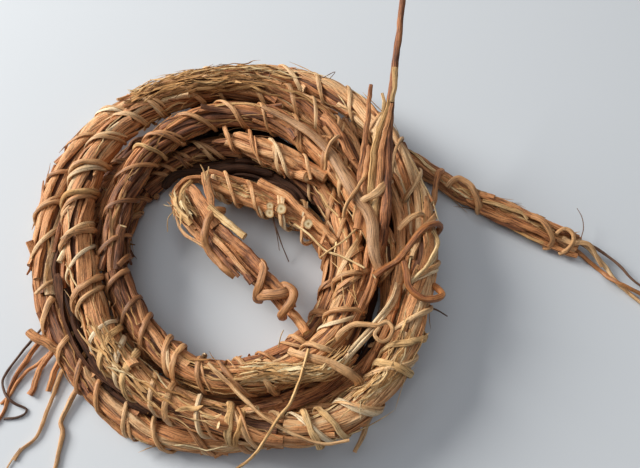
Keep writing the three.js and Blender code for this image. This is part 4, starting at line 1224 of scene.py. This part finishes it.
wrapPath = {
    "from": -52,        # angles in degrees round the rope, from its inner side over its top
    "top": 90,
    "to": 232,
    "ropeRadius": 3.8,
    "reach": 4.15,      # how far from the rope's middle a thin wrap lies
    "slideShare": 0.8,  # how much of its slide a wrap makes between its top and either end
    "step": 0.6,
}


def addPickedWraps(meshes):
    for number, wrap in enumerate(pickedWraps):
        draw = np.random.default_rng(800 + number)
        near = np.array(settled([wrap["near"]])[0])
        index = int(np.argmin(np.linalg.norm(mainRope["middle"] - near, axis=1)))
        slide = wrapPath["slideShare"] * wrap["slide"]
        run = [(wrapPath["from"], -slide), (wrapPath["top"], 0), (wrapPath["to"], slide)]
        corners = [(math.radians(angle) * wrapPath["ropeRadius"], along, 0) for angle, along in run]
        line = smoothLine(corners, wrapPath["step"])[0]
        angle = line[:, 0] / wrapPath["ropeRadius"]
        far = np.arange(len(line)) * wrapPath["step"]
        at = mainRope["at"][index] + line[:, 1] + 0.3 * wander(draw, far, 9)
        reach = wrapPath["reach"] + wrap["radius"] * wrap["flat"] * 0.5
        path, facing = aroundRope(mainRope, at, angle, reach + 0.14 * wander(draw, far, 5))
        size = wrap["radius"] * (1 + 0.14 * wander(draw, far, 6))
        tone = np.clip(wrap["tone"] + 0.1 * wander(draw, far, 9), 0, 1)
        outline = stripOutline(draw, 11) if wrap["flat"] < 0.7 else rootOutline(draw, 11, 0.15)
        meshes[wrap["skin"]].sweep(path, facing, outline, size * wrap["flat"], size, tone,
                                   draw.uniform(*patternPlaces))


def addPickedRoots():
    meshes = {name: RootMesh() for name in skins}
    coilHeight = 2.5     # a root that stays above this lies on the coil and has settled with it
    step = 0.5
    for number, root in enumerate(pickedRoots):
        draw = np.random.default_rng(500 + number)
        onCoil = min(point[2] for point in root["points"]) > coilHeight
        line = smoothLine(settled(root["points"]) if onCoil else root["points"], step)[0]
        at = np.arange(len(line)) * step
        sway = 0.22 * min(max(root["radii"]), 0.7)
        line[:, 0] += sway * wander(draw, at, 9)
        line[:, 1] += sway * wander(draw, at, 11)
        radius = radiusAlong(root["radii"], np.linspace(0, 1, len(line))) * (1 + 0.1 * wander(draw, at, 7))
        facing = np.tile([0.0, -0.35, 1.0], (len(line), 1))
        flat = root.get("flat", 1.0)
        outline = stripOutline(draw, 11) if flat < 1 else rootOutline(draw, 11, 0.15)
        tone = np.clip(root["tone"] + 0.08 * wander(draw, at, 10), 0, 1)
        hollow = 0.16 if flat == 1 and max(root["radii"]) > 0.6 else 0.0
        meshes[root["skin"]].sweep(line, facing, outline, radius * flat, radius, tone,
                                   draw.uniform(*patternPlaces), (hollow, hollow))
    addPickedWraps(meshes)
    for name, mesh in meshes.items():
        skin, slotName = skins[name]
        finishPiece(mesh.build(name + "PickedRoots", [skin, pith]), slotName)


addPickedRoots()
print("picked roots made")

# The smooth grey strip that lies across the top of the coil
greyStrip = {
    "points": [(5.5, 40.5, 19.4), (10.5, 37.5, 19.5), (16.4, 33.6, 19.6), (20.9, 29.6, 19.7),
               (24.8, 24.6, 19.8), (28.6, 17.2, 19.9), (32, 10.6, 19.9), (34.4, 6.6, 19.8),
               (35.4, 2.6, 19.7), (35.3, -1.4, 19.4), (35.8, -5.6, 19), (37.2, -9.4, 18)],
    "width": 3.8,
    "thickness": 2.0,
    "places": [0, 0.1, 0.35, 0.6, 0.72, 0.85, 1],            # shares of its length
    "fullness": [0.3, 0.5, 0.7, 1.0, 0.9, 0.85, 0.7],        # shares of its width at those places
    "tone": 0.5,
    "step": 0.8,
}


def addGreyStrip():
    draw = np.random.default_rng(71)
    line = smoothLine(settled(greyStrip["points"]), greyStrip["step"])[0]
    at = np.arange(len(line)) * greyStrip["step"]
    full = np.interp(np.linspace(0, 1, len(line)), greyStrip["places"], greyStrip["fullness"])
    full = full * (1 + 0.05 * wander(draw, at, 13))
    facing = np.tile([0.0, 0.0, 1.0], (len(line), 1))
    tone = np.clip(greyStrip["tone"] + 0.16 * wander(draw, at, 20), 0, 1)
    thick = greyStrip["thickness"] / 2 * full
    wide = greyStrip["width"] / 2 * full
    mesh = RootMesh()
    mesh.sweep(line, facing, rootOutline(draw, 14, 0.1), thick, wide, tone, seed=3.0)
    finishPiece(mesh.build("greyBarkStrip", [greyBark]), "grey_brown_bark", "grey_bark_strip")


addGreyStrip()
print("grey strip made")

# Matt pale paper that the coil lies on, a window at the upper left and the soft light of the room.
# Metres and watts here.
studio = {
    "paper": "#C8CCCF",
    "paperSize": 1.6,
    "lamps": [
        {"name": "window", "place": (-0.78, 0.34, 0.46), "size": 0.44, "power": 14.2,
         "tint": (1.0, 0.985, 0.96)},
        {"name": "room", "place": (-0.1, 0.1, 0.85), "size": 0.9, "power": 2.5,
         "tint": (0.98, 0.985, 1.0)},
    ],
    "sky": (0.86, 0.9, 1.0, 1.0),
    "skyStrength": 0.2,
}


def addPaper():
    half = studio["paperSize"] / 2
    corners = [(-half, -half, 0), (half, -half, 0), (half, half, 0), (-half, half, 0)]
    mesh = bpy.data.meshes.new("paper")
    mesh.from_pydata(corners, [], [(0, 1, 2, 3)])
    paper = addObject("paper", mesh)
    material, shader = newMaterial("mattPaper", gloss=0.15)
    shader.inputs["Base Color"].default_value = colour(studio["paper"])
    shader.inputs["Roughness"].default_value = 0.9
    mesh.materials.append(material)


def addLamp(lamp):
    data = bpy.data.lights.new(lamp["name"], "AREA")
    data.size = lamp["size"]
    data.energy = lamp["power"]
    data.color = lamp["tint"]
    light = addObject(lamp["name"], data)
    light.location = lamp["place"]
    light.rotation_euler = Vector(lamp["place"]).to_track_quat("Z", "Y").to_euler()   # faces the coil


def addSky():
    world = bpy.data.worlds.new("room")
    world.use_nodes = True
    background = world.node_tree.nodes["Background"]
    background.inputs["Color"].default_value = studio["sky"]
    background.inputs["Strength"].default_value = studio["skyStrength"]
    bpy.context.scene.world = world


addPaper()
for lamp in studio["lamps"]:
    addLamp(lamp)
addSky()
bpy.context.scene.view_settings.view_transform = "Standard"
print("studio made")
